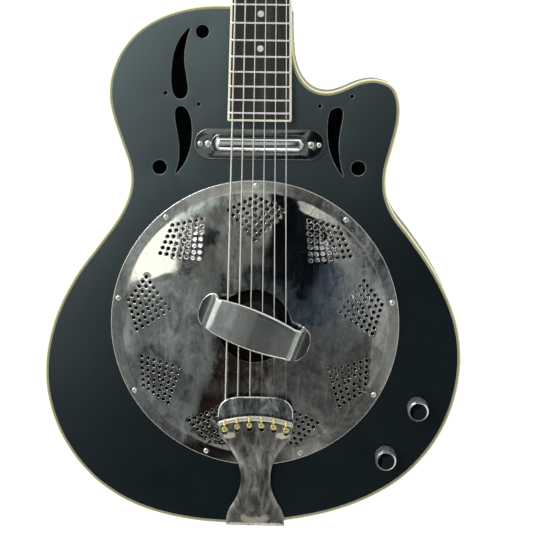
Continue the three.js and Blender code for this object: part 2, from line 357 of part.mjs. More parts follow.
let neck = toSolid(shaft).add(toSolid(tongue)).add(toSolid(head))
  .subtract(toSolid(box(-3.5, 3.5, 296, 668, zBoardUnder(668) - 13.5, TOP + 20)).intersect(toSolid(slab([[296, zBoardUnder(296) - 8.2], [668, zBoardUnder(668) - 8.2], [668, 120], [296, 120]], -3.5, 3.5)
    .applyMatrix4(new THREE.Matrix4().set(0, 0, 1, 0, 1, 0, 0, 0, 0, 1, 0, 0, 0, 0, 0, 1)))));
add('neck', fromSolid(neck), BLACK);
const zr = y => zBoardUnder(y) - 4.4;
add('truss_rod', wire([[0, 297, zr(297)], [0, 480, zr(480)], [0, 662, zr(662)]], 2.8, 8), STEEL);

const BOARD_IN = 1.9;
// a fingerboard section with a cambered face
function boardRing(y, half, fret = 0) {
  const z = zBoardUnder(y), out = [[half, y, z]], R = 305;
  for (let i = 0; i <= 4; i++) { const x = half - 2 * half * i / 4; out.push([x, y, z + BOARD_T - (R - Math.sqrt(R * R - x * x)) + fret]); }
  out.push([-half, y, z]);
  return out;
}
let board = toSolid(loft([boardRing(BOARD_END + BOARD_IN + GAP, boardHalf(BOARD_END) - BOARD_IN - GAP), boardRing(nY, boardHalf(nY) - BOARD_IN - GAP)]));
for (let n = 1; n <= 21; n++) {
  const y = SCALE * 2 ** (-n / 12), h = boardHalf(y) - BOARD_IN - 0.5;
  board = board.add(toSolid(loft([boardRing(y - 0.9, h, 1.0), boardRing(y + 0.9, h, 1.0)])));
}
add('fingerboard', fromSolid(board), EBONY);
// binding down both edges and across the end of the fingerboard
const bindPart = (x0, x1) => loft([[BOARD_END, 0], [nY, 0]].map(([y]) => {
  const z = zBoardUnder(y), h = boardHalf(y), a = h - BOARD_IN, top = x => z + BOARD_T - (305 - Math.sqrt(305 * 305 - x * x));
  return x0 > 0 ? [[h, y, z], [h, y, top(h)], [a, y, top(a)], [a, y, z]] : [[-a, y, z], [-a, y, top(a)], [-h, y, top(h)], [-h, y, z]];
}));
const endBind = loft([BOARD_END, BOARD_END + BOARD_IN].map(y => {
  const z = zBoardUnder(y), h = boardHalf(BOARD_END), out = [[h, y, z]];
  for (let i = 0; i <= 6; i++) { const x = h - 2 * h * i / 6; out.push([x, y, z + BOARD_T - (305 - Math.sqrt(305 * 305 - x * x))]); }
  out.push([-h, y, z]);
  return out;
}));
add('fingerboard_binding', fromSolid(toSolid(bindPart(1)).add(toSolid(bindPart(-1))).add(toSolid(endBind))), CREAM);
const stringZ = y => SADDLE_STRING_Z + (zBoard(SCALE) + 1.1 - SADDLE_STRING_Z) * y / SCALE;
add('nut', box(-NUT_W / 2, NUT_W / 2, nY + 0.4, nY + NUT_L, zBoardUnder(nY + NUT_L) + 0.05, stringZ(nY + NUT_L) - 1.1), BONE);

// ---------------------------------------------------------------- strings
const headPoint = (x, s, h) => { const v = new THREE.Vector3(x, s, h).applyMatrix4(headPlace); return [v.x, v.y, v.z]; };
tuners.forEach((t, i) => {
  const r = STRING_D[i] / 2, xn = stringX(i, STRING_SPREAD_NUT), xs = stringX(i, STRING_SPREAD_SADDLE), xt = stringX(i, STRING_SPREAD_TAIL);
  const zt = TOP + 16.6;
  const path = [[xt, -91.4, zt], [xt, -84, zt + 0.1], [xs, 0, SADDLE_STRING_Z + r - 0.35], [xn, nY + NUT_L / 2, stringZ(nY + NUT_L / 2) + r - 0.2],
    headPoint(t.x - t.side * (3 + r + 0.35), t.s, 6.5)];
  const ball = new THREE.CylinderGeometry(2.0, 2.0, 3.4, 10).translate(0, 0, 0).rotateX(Math.PI / 2).translate(xt, -91.6, zt + 0.1);
  add(`string_${6 - i}`, union(wire(path, Math.max(r, 0.25), 6), ball), i < 3 ? BRONZE : STEEL);
});

// ---------------------------------------------------------------- tuning machines, three on a plate each side
const headGroup = new THREE.Group();
headGroup.applyMatrix4(headPlace);
root.add(headGroup);
const PLATE_Z = -HEAD_T - GAP, WORM_Z = PLATE_Z - 3.7, GEAR_Z = WORM_Z + 1.5;
for (const side of [-1, 1]) {
  const name = side < 0 ? 'tuner_plate_bass' : 'tuner_plate_treble';
  const list = tuners.filter(t => t.side === side);
  const px = side * 23.5;
  let p = toSolid(slab([[px - 10, 36], [px + 10, 36], [px + 10, 142], [px - 10, 142]], PLATE_Z - 1, PLATE_Z, list.map(t => circle(t.x, t.s, 3.6, 10))));
  for (const t of list) for (const e of [px - 9.6, px + 8.2]) {
    p = p.add(toSolid(box(e, e + 1.4, t.s + WORM_OFFSET - 3.2, t.s + WORM_OFFSET + 3.2, WORM_Z - 3.2, PLATE_Z - 0.5)));
    p = p.subtract(toSolid(new THREE.CylinderGeometry(1.8, 1.8, 6, 8).rotateZ(Math.PI / 2).translate(e + 0.7, t.s + WORM_OFFSET, WORM_Z)));
  }
  add(name, fromSolid(p), STEEL, headGroup);
}
for (const t of tuners) {
  const n = 6 - t.string;
  // capstan with a flared head, and the gear wheel on its lower end
  add(`tuner_post_${n}`, turned([[0, GEAR_Z - 3], [5.6, GEAR_Z - 3], [5.6, GEAR_Z], [3, GEAR_Z], [3, 5.2], [2.6, 6], [2.6, 7.6], [3, 8.4], [3, 11], [0, 11]], 12).translate(t.x, t.s, 0), NICKEL, headGroup);
  // worm shaft with its button
  const px = t.side * 23.5, x0 = px - t.side * 10.6, x1 = t.side * 47;
  const shaftG = new THREE.CylinderGeometry(1.5, 1.5, Math.abs(x1 - x0), 10).rotateZ(Math.PI / 2).translate((x0 + x1) / 2, 0, 0);
  const worm = new THREE.CylinderGeometry(2.15, 2.15, 13.4, 10).rotateZ(Math.PI / 2).translate(px, 0, 0);
  const oval = [...Array(16).keys()].map(i => { const a = 2 * Math.PI * i / 16; return [t.side * (47 + 6.8 + 7.2 * Math.sign(Math.cos(a)) * Math.abs(Math.cos(a)) ** 0.8), 8.6 * Math.sin(a)]; });
  const button = slab(t.side > 0 ? oval : oval.reverse(), -3.2, 3.2);
  add(`tuner_button_${n}`, union(shaftG, worm, button).translate(0, t.s + WORM_OFFSET, WORM_Z), BUTTON, headGroup);
}
add('strap_button', turned([[0, 0], ...buttonProfile.slice(4)], 12).rotateY(-Math.PI / 2).translate(-24.1, 300, 46), CHROME);

export default root;
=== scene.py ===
import bpy, bmesh, math, random
from mathutils import Vector, Matrix
from mathutils.geometry import delaunay_2d_cdt


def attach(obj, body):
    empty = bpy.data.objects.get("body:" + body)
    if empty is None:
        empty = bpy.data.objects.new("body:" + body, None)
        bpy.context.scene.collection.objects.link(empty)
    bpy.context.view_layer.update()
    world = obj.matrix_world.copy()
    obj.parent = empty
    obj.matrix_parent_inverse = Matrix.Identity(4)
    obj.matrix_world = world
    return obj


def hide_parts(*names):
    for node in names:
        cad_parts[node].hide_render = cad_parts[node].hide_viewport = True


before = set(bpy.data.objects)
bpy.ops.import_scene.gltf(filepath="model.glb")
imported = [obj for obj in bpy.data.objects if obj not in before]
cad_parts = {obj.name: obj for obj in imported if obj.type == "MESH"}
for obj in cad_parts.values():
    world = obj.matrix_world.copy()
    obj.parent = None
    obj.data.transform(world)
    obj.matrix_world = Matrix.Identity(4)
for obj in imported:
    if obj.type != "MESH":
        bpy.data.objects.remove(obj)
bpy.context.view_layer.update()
MM = 0.001
rnd = random.Random(7)

# ------------------------------------------------------------------ dimensions, in millimetres, as in the CAD model
SCALE, TOP, TOP_T, BACK_T = 648.0, 75.0, 4.0, 3.5
BIND_W, BIND_H = 3.2, 6.0
TILT = math.radians(2.0)
BOARD_T, BOARD_END, NUT_W, END_W, BOARD_IN = 5.6, 185.2, 42.8, 57.6, 1.9
PLATE_X, PLATE_R, PLATE_HOLE_R, WELL_R = -2.6, 131.8, 33.6, 122.5
SADDLE_Z = TOP + 22
STRING_D = [1.35, 1.07, 0.81, 0.61, 0.43, 0.33]
PICK_Y = 164.4
KNOBS = {"volume": (147.4, -73.8), "tone": (119.2, -120.0)}
HEAD_TILT, HEAD_T, HEAD_L = math.radians(14), 15.0, 182.0
TUNER_S, TUNER_X, WORM_OFF = [45, 85, 125], 22.0, 8.2

OUTLINE = [(-27.5, 288.0), (-44.7, 287.8), (-61.6, 285.9), (-77.2, 282.1), (-91.1, 276.8), (-103.1, 270.1), (-113.5, 261.8),
  (-122.0, 252.1), (-128.9, 240.8), (-135.4, 222.0), (-136.5, 203.2), (-133.0, 186.0), (-125.6, 164.2), (-118.5, 143.1), (-117.1, 130.7),
  (-118.4, 119.6), (-122.4, 107.8), (-129.3, 94.8), (-146.2, 71.4), (-164.3, 47.0), (-173.0, 32.5), (-179.9, 19.1), (-186.9, 1.9),
  (-191.8, -15.4), (-194.8, -32.5), (-195.7, -48.7), (-194.9, -63.1), (-192.3, -77.7), (-188.1, -92.0), (-182.2, -106.2),
  (-174.7, -119.6), (-166.2, -131.8), (-156.3, -143.1), (-145.4, -153.1), (-122.4, -168.1), (-94.4, -179.1), (-60.6, -186.1),
  (-24.7, -188.5), (16.7, -186.4), (60.8, -178.2), (93.9, -166.8), (121.5, -152.0), (134.3, -142.5), (146.1, -131.6),
  (156.2, -119.9), (165.0, -107.2), (172.5, -93.2), (178.4, -78.5), (182.8, -62.8), (185.4, -47.2), (186.3, -29.1),
  (184.9, -11.5), (181.3, 5.4), (175.4, 22.1), (166.5, 40.4), (154.6, 60.0), (138.4, 82.4), (122.1, 103.7), (116.1, 118.1),
  (114.4, 129.7), (115.0, 142.3), (119.4, 160.2), (123.9, 178.3), (125.7, 190.1), (125.4, 202.1), (122.7, 212.1), (119.7, 216.9),
  (115.5, 220.4), (103.8, 223.9), (90.7, 222.6), (69.8, 214.2), (61.4, 212.2), (51.5, 213.2), (42.9, 217.8), (35.3, 227.2),
  (30.2, 241.3), (28.5, 255.2), (27.6, 272), (27.5, 288)]
CRESCENTS = [
  [(-63.6, 267.9), (-71.1, 260.4), (-75.0, 253.0), (-77.8, 245.6), (-79.5, 235.3), (-80.2, 224.0), (-79.7, 214.9), (-77.9, 208.0), (-74.2, 204.4),
   (-69.6, 204.5), (-66.2, 207.6), (-65.2, 212.8), (-66.2, 221.9), (-67.7, 230.9), (-68.6, 239.0), (-68.3, 246.9), (-67.0, 254.8), (-65.0, 262.2)],
  [(-70.7, 197.8), (-75.3, 196.0), (-76.7, 191.4), (-76.3, 184.0), (-74.6, 174.8), (-73.1, 165.6), (-72.6, 156.4), (-73.3, 147.2), (-75.9, 136.6),
   (-70.4, 142.6), (-65.8, 150.7), (-62.6, 161.2), (-61.3, 171.6), (-61.7, 181.9), (-63.5, 189.9), (-66.1, 195.0)],
  [(68.5, 198.0), (63.5, 195.3), (61.5, 187.6), (60.9, 177.6), (61.5, 168.8), (63.5, 158.7), (66.8, 149.9), (71.4, 141.7), (75.6, 136.4),
   (73.9, 143.7), (72.1, 152.5), (71.3, 162.6), (71.8, 172.7), (73.4, 182.8), (74.6, 191.7), (73.9, 196.0), (71.6, 198.1)]]
ROUND_HOLES = [(-52.4, 264.4, 6.0), (-90.4, 142.3, 6.6), (89.3, 143.9, 6.6)]
SMALL_HOLES = [(-85.4, 209.3, 1.8), (-55.5, 199.7, 1.8), (82.3, 208.3, 1.8), (53.6, 199.3, 1.8)]


# ------------------------------------------------------------------ curves and outlines
def spline(pts, closed, per):
    """Centripetal Catmull-Rom through 2-D or 3-D points."""
    P = [Vector(p) for p in pts]
    n, out = len(P), []
    segs = n if closed else n - 1
    for i in range(segs):
        p1, p2 = P[i], P[(i + 1) % n]
        p0 = P[(i - 1) % n] if closed or i > 0 else p1 * 2 - p2
        p3 = P[(i + 2) % n] if closed or i + 2 < n else p2 * 2 - p1
        d0, d1, d2 = (max((b - a).length ** 0.5, 1e-4) for a, b in ((p0, p1), (p1, p2), (p2, p3)))
        t1 = ((p1 - p0) / d0 - (p2 - p0) / (d0 + d1) + (p2 - p1) / d1) * d1
        t2 = ((p2 - p1) / d1 - (p3 - p1) / (d1 + d2) + (p3 - p2) / d2) * d1
        for k in range(per):
            t = k / per
            out.append(p1 * (2 * t**3 - 3 * t**2 + 1) + t1 * (t**3 - 2 * t**2 + t) + p2 * (3 * t**2 - 2 * t**3) + t2 * (t**3 - t**2))
    if not closed:
        out.append(P[-1])
    return [tuple(v) for v in out]


def area(p):
    return sum(p[i][0] * p[(i + 1) % len(p)][1] - p[(i + 1) % len(p)][0] * p[i][1] for i in range(len(p))) / 2


def ccw(p):
    return list(p) if area(p) > 0 else list(reversed(p))


def inset(pts, d):
    """Offsets a counter-clockwise outline inwards by d."""
    n, out = len(pts), []
    for i in range(n):
        p, q, r = pts[i - 1], pts[i], pts[(i + 1) % n]
        e1, e2 = (q[0] - p[0], q[1] - p[1]), (r[0] - q[0], r[1] - q[1])
        l1, l2 = math.hypot(*e1) or 1e-9, math.hypot(*e2) or 1e-9
        n1, n2 = (-e1[1] / l1, e1[0] / l1), (-e2[1] / l2, e2[0] / l2)
        k = max(1 + n1[0] * n2[0] + n1[1] * n2[1], 0.35)
        out.append((q[0] + d * (n1[0] + n2[0]) / k, q[1] + d * (n1[1] + n2[1]) / k))
    return out


def circle(x, y, r, n=32):
    return [(x + r * math.cos(2 * math.pi * i / n), y + r * math.sin(2 * math.pi * i / n)) for i in range(n)]


def stadium(x, y, length, width, n=16):
    r, h, out = width / 2, length / 2 - width / 2, []
    for i in range(n + 1):
        a = -math.pi / 2 + math.pi * i / n
        out.append((x + h + r * math.cos(a), y + r * math.sin(a)))
    for i in range(n + 1):
        a = math.pi / 2 + math.pi * i / n
        out.append((x - h + r * math.cos(a), y + r * math.sin(a)))
    return out


def fillet(pts, r, n=4, closed=False):
    """Rounds the corners of a polyline; r is one radius or one per point."""
    out, m = [], len(pts)
    for i in range(m):
        ri = r[i] if isinstance(r, (list, tuple)) else r
        if ri <= 0 or (not closed and i in (0, m - 1)):
            out.append(tuple(pts[i]))
            continue
        p, q, s = Vector(pts[i - 1]), Vector(pts[i]), Vector(pts[(i + 1) % m])
        a, b = p - q, s - q
        la, lb = a.length, b.length
        if la < 1e-6 or lb < 1e-6:
            out.append(tuple(q))
            continue
        a, b = a / la, b / lb
        ang = math.acos(max(-1, min(1, a.dot(b))))
        if ang > math.pi - 0.05:
            out.append(tuple(q))
            continue
        t = min(ri / math.tan(ang / 2), 0.48 * la, 0.48 * lb)
        p0, p1 = q + a * t, q + b * t
        for k in range(n + 1):
            u = k / n
            out.append(tuple(p0 * (1 - u) ** 2 + q * 2 * u * (1 - u) + p1 * u**2))
    return out


def interp(table, x):
    """Smooth interpolation through (x, y) rows in rising x."""
    if x <= table[0][0]:
        return table[0][1]
    if x >= table[-1][0]:
        return table[-1][1]
    for i in range(len(table) - 1):
        x0, y0 = table[i]
        x1, y1 = table[i + 1]
        if x <= x1:
            m = (y1 - y0) / (x1 - x0)
            a = (y0 - table[i - 1][1]) / (x0 - table[i - 1][0]) if i > 0 else m
            b = (table[i + 2][1] - y1) / (table[i + 2][0] - x1) if i + 2 < len(table) else m
            m0 = 0.0 if a * m <= 0 else 2 * a * m / (a + m)
            m1 = 0.0 if b * m <= 0 else 2 * b * m / (b + m)
            if i == 0:
                m0 = m
            if i + 2 >= len(table):
                m1 = m
            h, t = x1 - x0, (x - x0) / (x1 - x0)
            return y0 * (2 * t**3 - 3 * t**2 + 1) + m0 * h * (t**3 - 2 * t**2 + t) + y1 * (3 * t**2 - 2 * t**3) + m1 * h * (t**3 - t**2)


# ------------------------------------------------------------------ solids as (vertices, faces)
def lathe(profile, n=48):
    """Turned about +Z. Profile is (radius, z); radius 0 at an end closes it."""
    verts, rows = [], []
    for r, z in profile:
        if r < 1e-6:
            rows.append([len(verts)] * n)
            verts.append((0, 0, z))
        else:
            rows.append(list(range(len(verts), len(verts) + n)))
            verts += [(r * math.cos(2 * math.pi * i / n), r * math.sin(2 * math.pi * i / n), z) for i in range(n)]
    faces = []
    closed = profile[0][0] > 1e-6 and profile[-1][0] > 1e-6
    m = len(rows)
    for j in range(m if closed else m - 1):
        a, b = rows[j], rows[(j + 1) % m]
        for i in range(n):
            k = (i + 1) % n
            f = [a[i], a[k], b[k], b[i]]
            f = [v for q, v in enumerate(f) if v != f[q - 1]]
            if len(set(f)) > 2:
                faces.append(f)
    return verts, faces


def hoop(rings):
    """Rings of equal length, joined each to the next and the last to the first."""
    n, m = len(rings[0]), len(rings)
    verts = [p for r in rings for p in r]
    faces = [(j * n + i, j * n + (i + 1) % n, ((j + 1) % m) * n + (i + 1) % n, ((j + 1) % m) * n + i) for j in range(m) for i in range(n)]
    return verts, faces


def loft(rings, caps=True):
    n, m = len(rings[0]), len(rings)
    verts = [p for r in rings for p in r]
    faces = [(j * n + i, j * n + (i + 1) % n, (j + 1) * n + (i + 1) % n, (j + 1) * n + i) for j in range(m - 1) for i in range(n)]
    if caps:
        faces.append(tuple(range(n)))
        faces.append(tuple(reversed(range((m - 1) * n, m * n))))
    return verts, faces


def tube(path, r, sides=10, caps=True, taper=None):
    P = [Vector(p) for p in path]
    rings, side = [], None
    for j, p in enumerate(P):
        t = (P[min(j + 1, len(P) - 1)] - P[max(j - 1, 0)]).normalized()
        if side is None:
            side = t.cross(Vector((1, 0, 0)) if abs(t.x) < 0.9 else Vector((0, 0, 1))).normalized()
        side = (side - t * side.dot(t)).normalized()
        up = t.cross(side)
        rr = r * (taper(j / (len(P) - 1)) if taper else 1)
        rings.append([tuple(p + (side * math.cos(2 * math.pi * i / sides) + up * math.sin(2 * math.pi * i / sides)) * rr) for i in range(sides)])
    return loft(rings, caps)


def inside(p, poly):
    x, y = p
    c, j = False, len(poly) - 1
    for i in range(len(poly)):
        xi, yi = poly[i]
        xj, yj = poly[j]
        if (yi > y) != (yj > y) and x < (xj - xi) * (y - yi) / (yj - yi) + xi:
            c = not c
        j = i
    return c


def plate(outer, holes, zt, zb, bev=0.3, hole_bev=None, extra=(), steps=3, hole_mat=1):
    """A sheet with holes. zt(x, y) is the upper face, zb(x, y) the lower one; rims are rounded over. Returns vertices, faces, material indices."""
    hole_bev = bev if hole_bev is None else hole_bev
    loops = [(ccw(outer), 1, bev)] + [(ccw(h), -1, min(hole_bev, 0.9)) for h in holes]
    flat, edges, owner = [], [], []
    for k, (lp, sg, b) in enumerate(loops):
        s = len(flat)
        q = inset(lp, sg * b)
        flat += q
        owner += [k] * len(q)
        edges += [(s + i, s + (i + 1) % len(q)) for i in range(len(q))]
    ext = list(extra)
    flat += ext
    owner += [-1] * len(ext)
    res = delaunay_2d_cdt([Vector(v) for v in flat], edges, [], 0, 1e-7, True)
    back_id = {}
    for vi, ids in enumerate(res[3]):
        back_id[vi] = ids[0] if ids else None
    extra_v = len(flat)
    for vi, co in enumerate(res[0]):
        if back_id[vi] is None:
            flat.append(tuple(co))
            owner.append(-1)
            back_id[vi] = len(flat) - 1
    polys = [inset(lp, sg * b) for lp, sg, b in loops]
    tris = []
    for f in res[2]:
        t = [back_id[v] for v in f]
        k = {owner[v] for v in t}
        if len(k) == 1 and -1 not in k:
            kk = k.pop()
            c = (sum(flat[v][0] for v in t) / 3, sum(flat[v][1] for v in t) / 3)
            inn = inside(c, polys[kk])
            if (kk == 0 and not inn) or (kk > 0 and inn):
                continue
        tris.append(t)
    n = len(flat)
    verts = [(x, y, zt(x, y)) for x, y in flat] + [(x, y, zb(x, y)) for x, y in flat]
    faces, mats = [tuple(t) for t in tris], [0] * len(tris)
    faces += [tuple(reversed([v + n for v in t])) for t in tris]
    mats += [0] * len(tris)
    s = 0
    for k, (lp, sg, b) in enumerate(loops):
        m = len(lp)
        rows = [list(range(s, s + m))]
        for j in range(1, steps + 1):
            a = math.pi / 2 * j / steps
            q = inset(lp, sg * b * (1 - math.sin(a)))
            rows.append(list(range(len(verts), len(verts) + m)))
            verts += [(x, y, zt(x, y) - b * (1 - math.cos(a))) for x, y in q]
        rows.append(list(range(len(verts), len(verts) + m)))
        verts += [(x, y, zb(x, y)) for x, y in lp]
        rows.append([v + n for v in rows[0]])
        for a, c in zip(rows, rows[1:]):
            for i in range(m):
                i2 = (i + 1) % m
                faces.append((a[i], c[i], c[i2], a[i2]))
                mats.append(0 if k == 0 else hole_mat)
        s += m
    return verts, faces, mats


def moved(geo, f):
    return ([f(v) for v in geo[0]],) + tuple(geo[1:])


def at(geo, x=0, y=0, z=0):
    return moved(geo, lambda v: (v[0] + x, v[1] + y, v[2] + z))


def joined(*geos):
    verts, faces, mats = [], [], []
    for g in geos:
        s = len(verts)
        verts += g[0]
        faces += [tuple(v + s for v in f) for f in g[1]]
        mats += g[2] if len(g) > 2 else [0] * len(g[1])
    return verts, faces, mats


def tinted(geo, k):
    return geo[0], geo[1], [k] * len(geo[1])


def make(name, geo, mats, body="guitar", replaces=(), angle=32, flat=False, cuts=()):
    """Builds the mesh object, faces turned outwards, and hangs it on its body."""
    verts, faces = geo[0], geo[1]
    me = bpy.data.meshes.new(name)
    me.from_pydata([(x * MM, y * MM, z * MM) for x, y, z in verts], [], faces)
    mats = mats if isinstance(mats, (list, tuple)) else [mats]
    for m in mats:
        me.materials.append(m)
    if len(geo) > 2:
        me.polygons.foreach_set("material_index", [min(i, len(mats) - 1) for i in geo[2]])
    bm = bmesh.new()
    bm.from_mesh(me)
    bmesh.ops.remove_doubles(bm, verts=bm.verts, dist=2e-7)
    bmesh.ops.recalc_face_normals(bm, faces=bm.faces)
    bm.to_mesh(me)
    bm.free()
    o = bpy.data.objects.new(name, me)
    bpy.context.scene.collection.objects.link(o)
    if cuts:
        tools = []
        for k, c in enumerate(cuts):
            cm = bpy.data.meshes.new("cut")
            cm.from_pydata([(x * MM, y * MM, z * MM) for x, y, z in c[0]], [], c[1])
            b2 = bmesh.new()
            b2.from_mesh(cm)
            bmesh.ops.recalc_face_normals(b2, faces=b2.faces)
            b2.to_mesh(cm)
            b2.free()
            co = bpy.data.objects.new("cut", cm)
            bpy.context.scene.collection.objects.link(co)
            mod = o.modifiers.new("cut", "BOOLEAN")
            mod.object, mod.operation, mod.solver = co, "DIFFERENCE", "EXACT"
            tools.append(co)
        dg = bpy.context.evaluated_depsgraph_get()
        new = bpy.data.meshes.new_from_object(o.evaluated_get(dg))
        o.modifiers.clear()
        o.data = new
        for t in tools:
            bpy.data.objects.remove(t)
        me = new
    if not flat:
        me.polygons.foreach_set("use_smooth", [True] * len(me.polygons))
        me.set_sharp_from_angle(angle=math.radians(angle))
    me.update()
    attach(o, body)
    if replaces:
        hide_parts(*replaces)
    return o


# ------------------------------------------------------------------ procedural materials
class Mat:
    def __init__(s, name, **kw):
        s.m = bpy.data.materials.new(name)
        s.m.use_nodes = True
        s.t = s.m.node_tree
        s.t.nodes.clear()
        out = s.t.nodes.new("ShaderNodeOutputMaterial")
        s.b = s.t.nodes.new("ShaderNodeBsdfPrincipled")
        s.t.links.new(s.b.outputs[0], out.inputs[0])
        s.co = s.t.nodes.new("ShaderNodeTexCoord").outputs["Object"]
        for k, v in kw.items():
            s.b.inputs[k.replace("_", " ")].default_value = v

    def node(s, kind, ins=(), **props):
        n = s.t.nodes.new("ShaderNode" + kind)
        for k, v in props.items():
            setattr(n, k, v)
        for k, v in (ins.items() if isinstance(ins, dict) else enumerate(ins)):
            s.put(n.inputs[k], v)
        return n

    def put(s, inp, v):
        if isinstance(v, bpy.types.NodeSocket):
            s.t.links.new(v, inp)
        elif v is not None:
            if hasattr(inp.default_value, "__len__") and not hasattr(v, "__len__"):
                inp.default_value = [v] * len(inp.default_value)
            elif hasattr(inp.default_value, "__len__") and len(inp.default_value) == 4 and len(v) == 3:
                inp.default_value = (*v, 1)
            else:
                inp.default_value = v

    def map(s, scale=(1, 1, 1), rot=(0, 0, 0), loc=(0, 0, 0), vec=None):
        return s.node("Mapping", {"Vector": vec or s.co, "Scale": scale, "Rotation": tuple(math.radians(a) for a in rot), "Location": loc}).outputs[0]

    def noise(s, scale, detail=3, rough=0.55, dist=0.0, vec=None):
        return s.node("TexNoise", {"Vector": vec or s.co, "Scale": scale, "Detail": detail, "Roughness": rough, "Distortion": dist}).outputs[0]

    def voronoi(s, scale, vec=None, feature="F1"):
        return s.node("TexVoronoi", {"Vector": vec or s.co, "Scale": scale}, feature=feature).outputs["Distance"]

    def wave(s, scale, direction="Y", kind="BANDS", dist=0.0, vec=None, detail=1.0):
        p = {"wave_type": kind, ("bands_direction" if kind == "BANDS" else "rings_direction"): direction}
        return s.node("TexWave", {"Vector": vec or s.co, "Scale": scale, "Distortion": dist, "Detail": detail}, **p).outputs[1]

    def ramp(s, fac, stops):
        n = s.node("ValToRGB", {"Fac": fac})
        e = n.color_ramp.elements
        while len(e) > len(stops):
            e.remove(e[-1])
        while len(e) < len(stops):
            e.new(0.5)
        for el, (p, c) in zip(e, stops):
            el.position = p
            el.color = (c, c, c, 1) if isinstance(c, (int, float)) else (*c, 1)
        return n.outputs[0]

    def mix(s, fac, a, b, mode="MIX"):
        n = s.node("Mix", data_type="RGBA", blend_type=mode, clamp_factor=True)
        s.put(n.inputs[0], fac)
        s.put(n.inputs[6], a)
        s.put(n.inputs[7], b)
        return n.outputs[2]

    def rng(s, v, a, b, c, d):
        return s.node("MapRange", {0: v, 1: a, 2: b, 3: c, 4: d}).outputs[0]

    def math(s, op, a, b=None, clamp=False):
        n = s.node("Math", operation=op, use_clamp=clamp)
        s.put(n.inputs[0], a)
        if b is not None:
            s.put(n.inputs[1], b)
        return n.outputs[0]

    def add(s, *v):
        out = v[0]
        for x in v[1:]:
            out = s.math("ADD", out, x)
        return out

    def times(s, a, b):
        return s.math("MULTIPLY", a, b)

    def xyz(s, vec=None):
        return s.node("SeparateXYZ", [vec or s.co]).outputs

    def spot(s, x, y, rx, ry, edge=0.35, wob=0.0):
        """1 inside an ellipse in the XY plane (millimetres), 0 outside, with a soft, slightly uneven edge."""
        o = s.xyz()
        dx = s.math("DIVIDE", s.math("SUBTRACT", o[0], x * MM), rx * MM)
        dy = s.math("DIVIDE", s.math("SUBTRACT", o[1], y * MM), ry * MM)
        d = s.math("SQRT", s.add(s.times(dx, dx), s.times(dy, dy)))
        if wob:
            d = s.add(d, s.times(s.math("SUBTRACT", s.noise(220, 3), 0.5), wob))
        return s.rng(d, 1 - edge, 1 + edge, 1, 0)

    def bump(s, height, strength, dist=0.0003):
        n = s.node("Bump", {"Height": height, "Strength": strength, "Distance": dist})
        s.t.links.new(n.outputs[0], s.b.inputs["Normal"])
        return n

    def out(s, color=None, rough=None, bump=None):
        if color is not None:
            s.put(s.b.inputs["Base Color"], color)
        if rough is not None:
            s.put(s.b.inputs["Roughness"], rough)
        if bump is not None:
            s.bump(*bump)
        return s.m


def scratches(s, scale=260, k=0.0):
    """Fine straight scuffs in three directions."""
    outs = []
    for i, a in enumerate((17, 74, 128)):
        v = s.noise(scale, 2, 0.6, 0.0, s.map((1.0, 0.035, 1.0), (0, 0, a + k), (i * 0.37, 0.11, 0)))
        outs.append(s.rng(v, 0.66, 0.74, 0, 1))
    return s.math("MAXIMUM", s.math("MAXIMUM", outs[0], outs[1]), outs[2])


def lacquer(name, lo, hi, r0, r1, peel=0.03, spec=0.5, painted_sheen=0.0):
    s = Mat(name, Specular_IOR_Level=spec, Specular_Tint=(0.72, 0.92, 1.0, 1))
    n = s.noise(5, 3, 0.6)
    dust = s.rng(s.noise(2600, 2, 0.7), 0.72, 0.82, 0, 1)
    wipe = s.rng(s.noise(26, 5, 0.7, 0.8), 0.50, 0.70, 0, 1)
    col = s.mix(s.rng(n, 0.35, 0.65, 0, 1), lo, hi)
    col = s.mix(s.times(dust, 0.18), col, (0.07, 0.085, 0.09))
    col = s.mix(s.times(wipe, 0.10), col, (0.016, 0.022, 0.024))
    # painted sheen: a lighter, bluish tint growing towards the upper left, standing in for the lacquer's glossy
    # reflection there
    if painted_sheen:
        o = s.xyz()
        g = s.rng(s.add(s.times(o[1], 0.60), s.times(o[0], -0.45), 0.055, s.times(s.math("SUBTRACT", n, 0.5), 0.03)), 0.0, 0.25, 0, 1)
        g = s.times(s.math("POWER", g, 1.8), painted_sheen)
        col = s.mix(g, col, (0.142, 0.178, 0.184))
    rough = s.add(s.rng(s.noise(30, 4, 0.6), 0.3, 0.7, r0, r1), s.times(wipe, 0.03))
    return s.out(col, rough, (s.add(s.noise(700, 2), s.times(s.noise(60, 2), 0.6)), peel, 0.0004))


BLACK = lacquer("satin_black_lacquer", (0.0020, 0.0046, 0.0062), (0.0032, 0.0062, 0.0078), 0.40, 0.47, 0.03, 0.30, 0.62)
SIDE = lacquer("satin_black_side", (0.030, 0.028, 0.026), (0.040, 0.037, 0.034), 0.34, 0.44, 0.03, 0.22)
NECKM = lacquer("satin_black_neck", (0.010, 0.0125, 0.0130), (0.016, 0.018, 0.019), 0.30, 0.42)


def make_edge():
    s = Mat("worn_and_highlighted_hole_edge", Specular_IOR_Level=0.5)
    w = s.noise(160, 4, 0.65)
    # the top 1.6 mm of each hole wall turns lighter grey and stays black below: partly worn lacquer, partly a painted
    # highlight where the edge catches light
    z = s.rng(s.xyz()[2], (TOP - 1.6) * MM, (TOP - 0.2) * MM, 0, 1)
    col = s.mix(s.times(s.rng(w, 0.35, 0.65, 0.35, 1), z), (0.015, 0.015, 0.015), (0.27, 0.28, 0.27))
    return s.out(col, s.rng(w, 0.3, 0.7, 0.35, 0.6), (s.noise(500, 3), 0.2, 0.0002))


EDGE = make_edge()


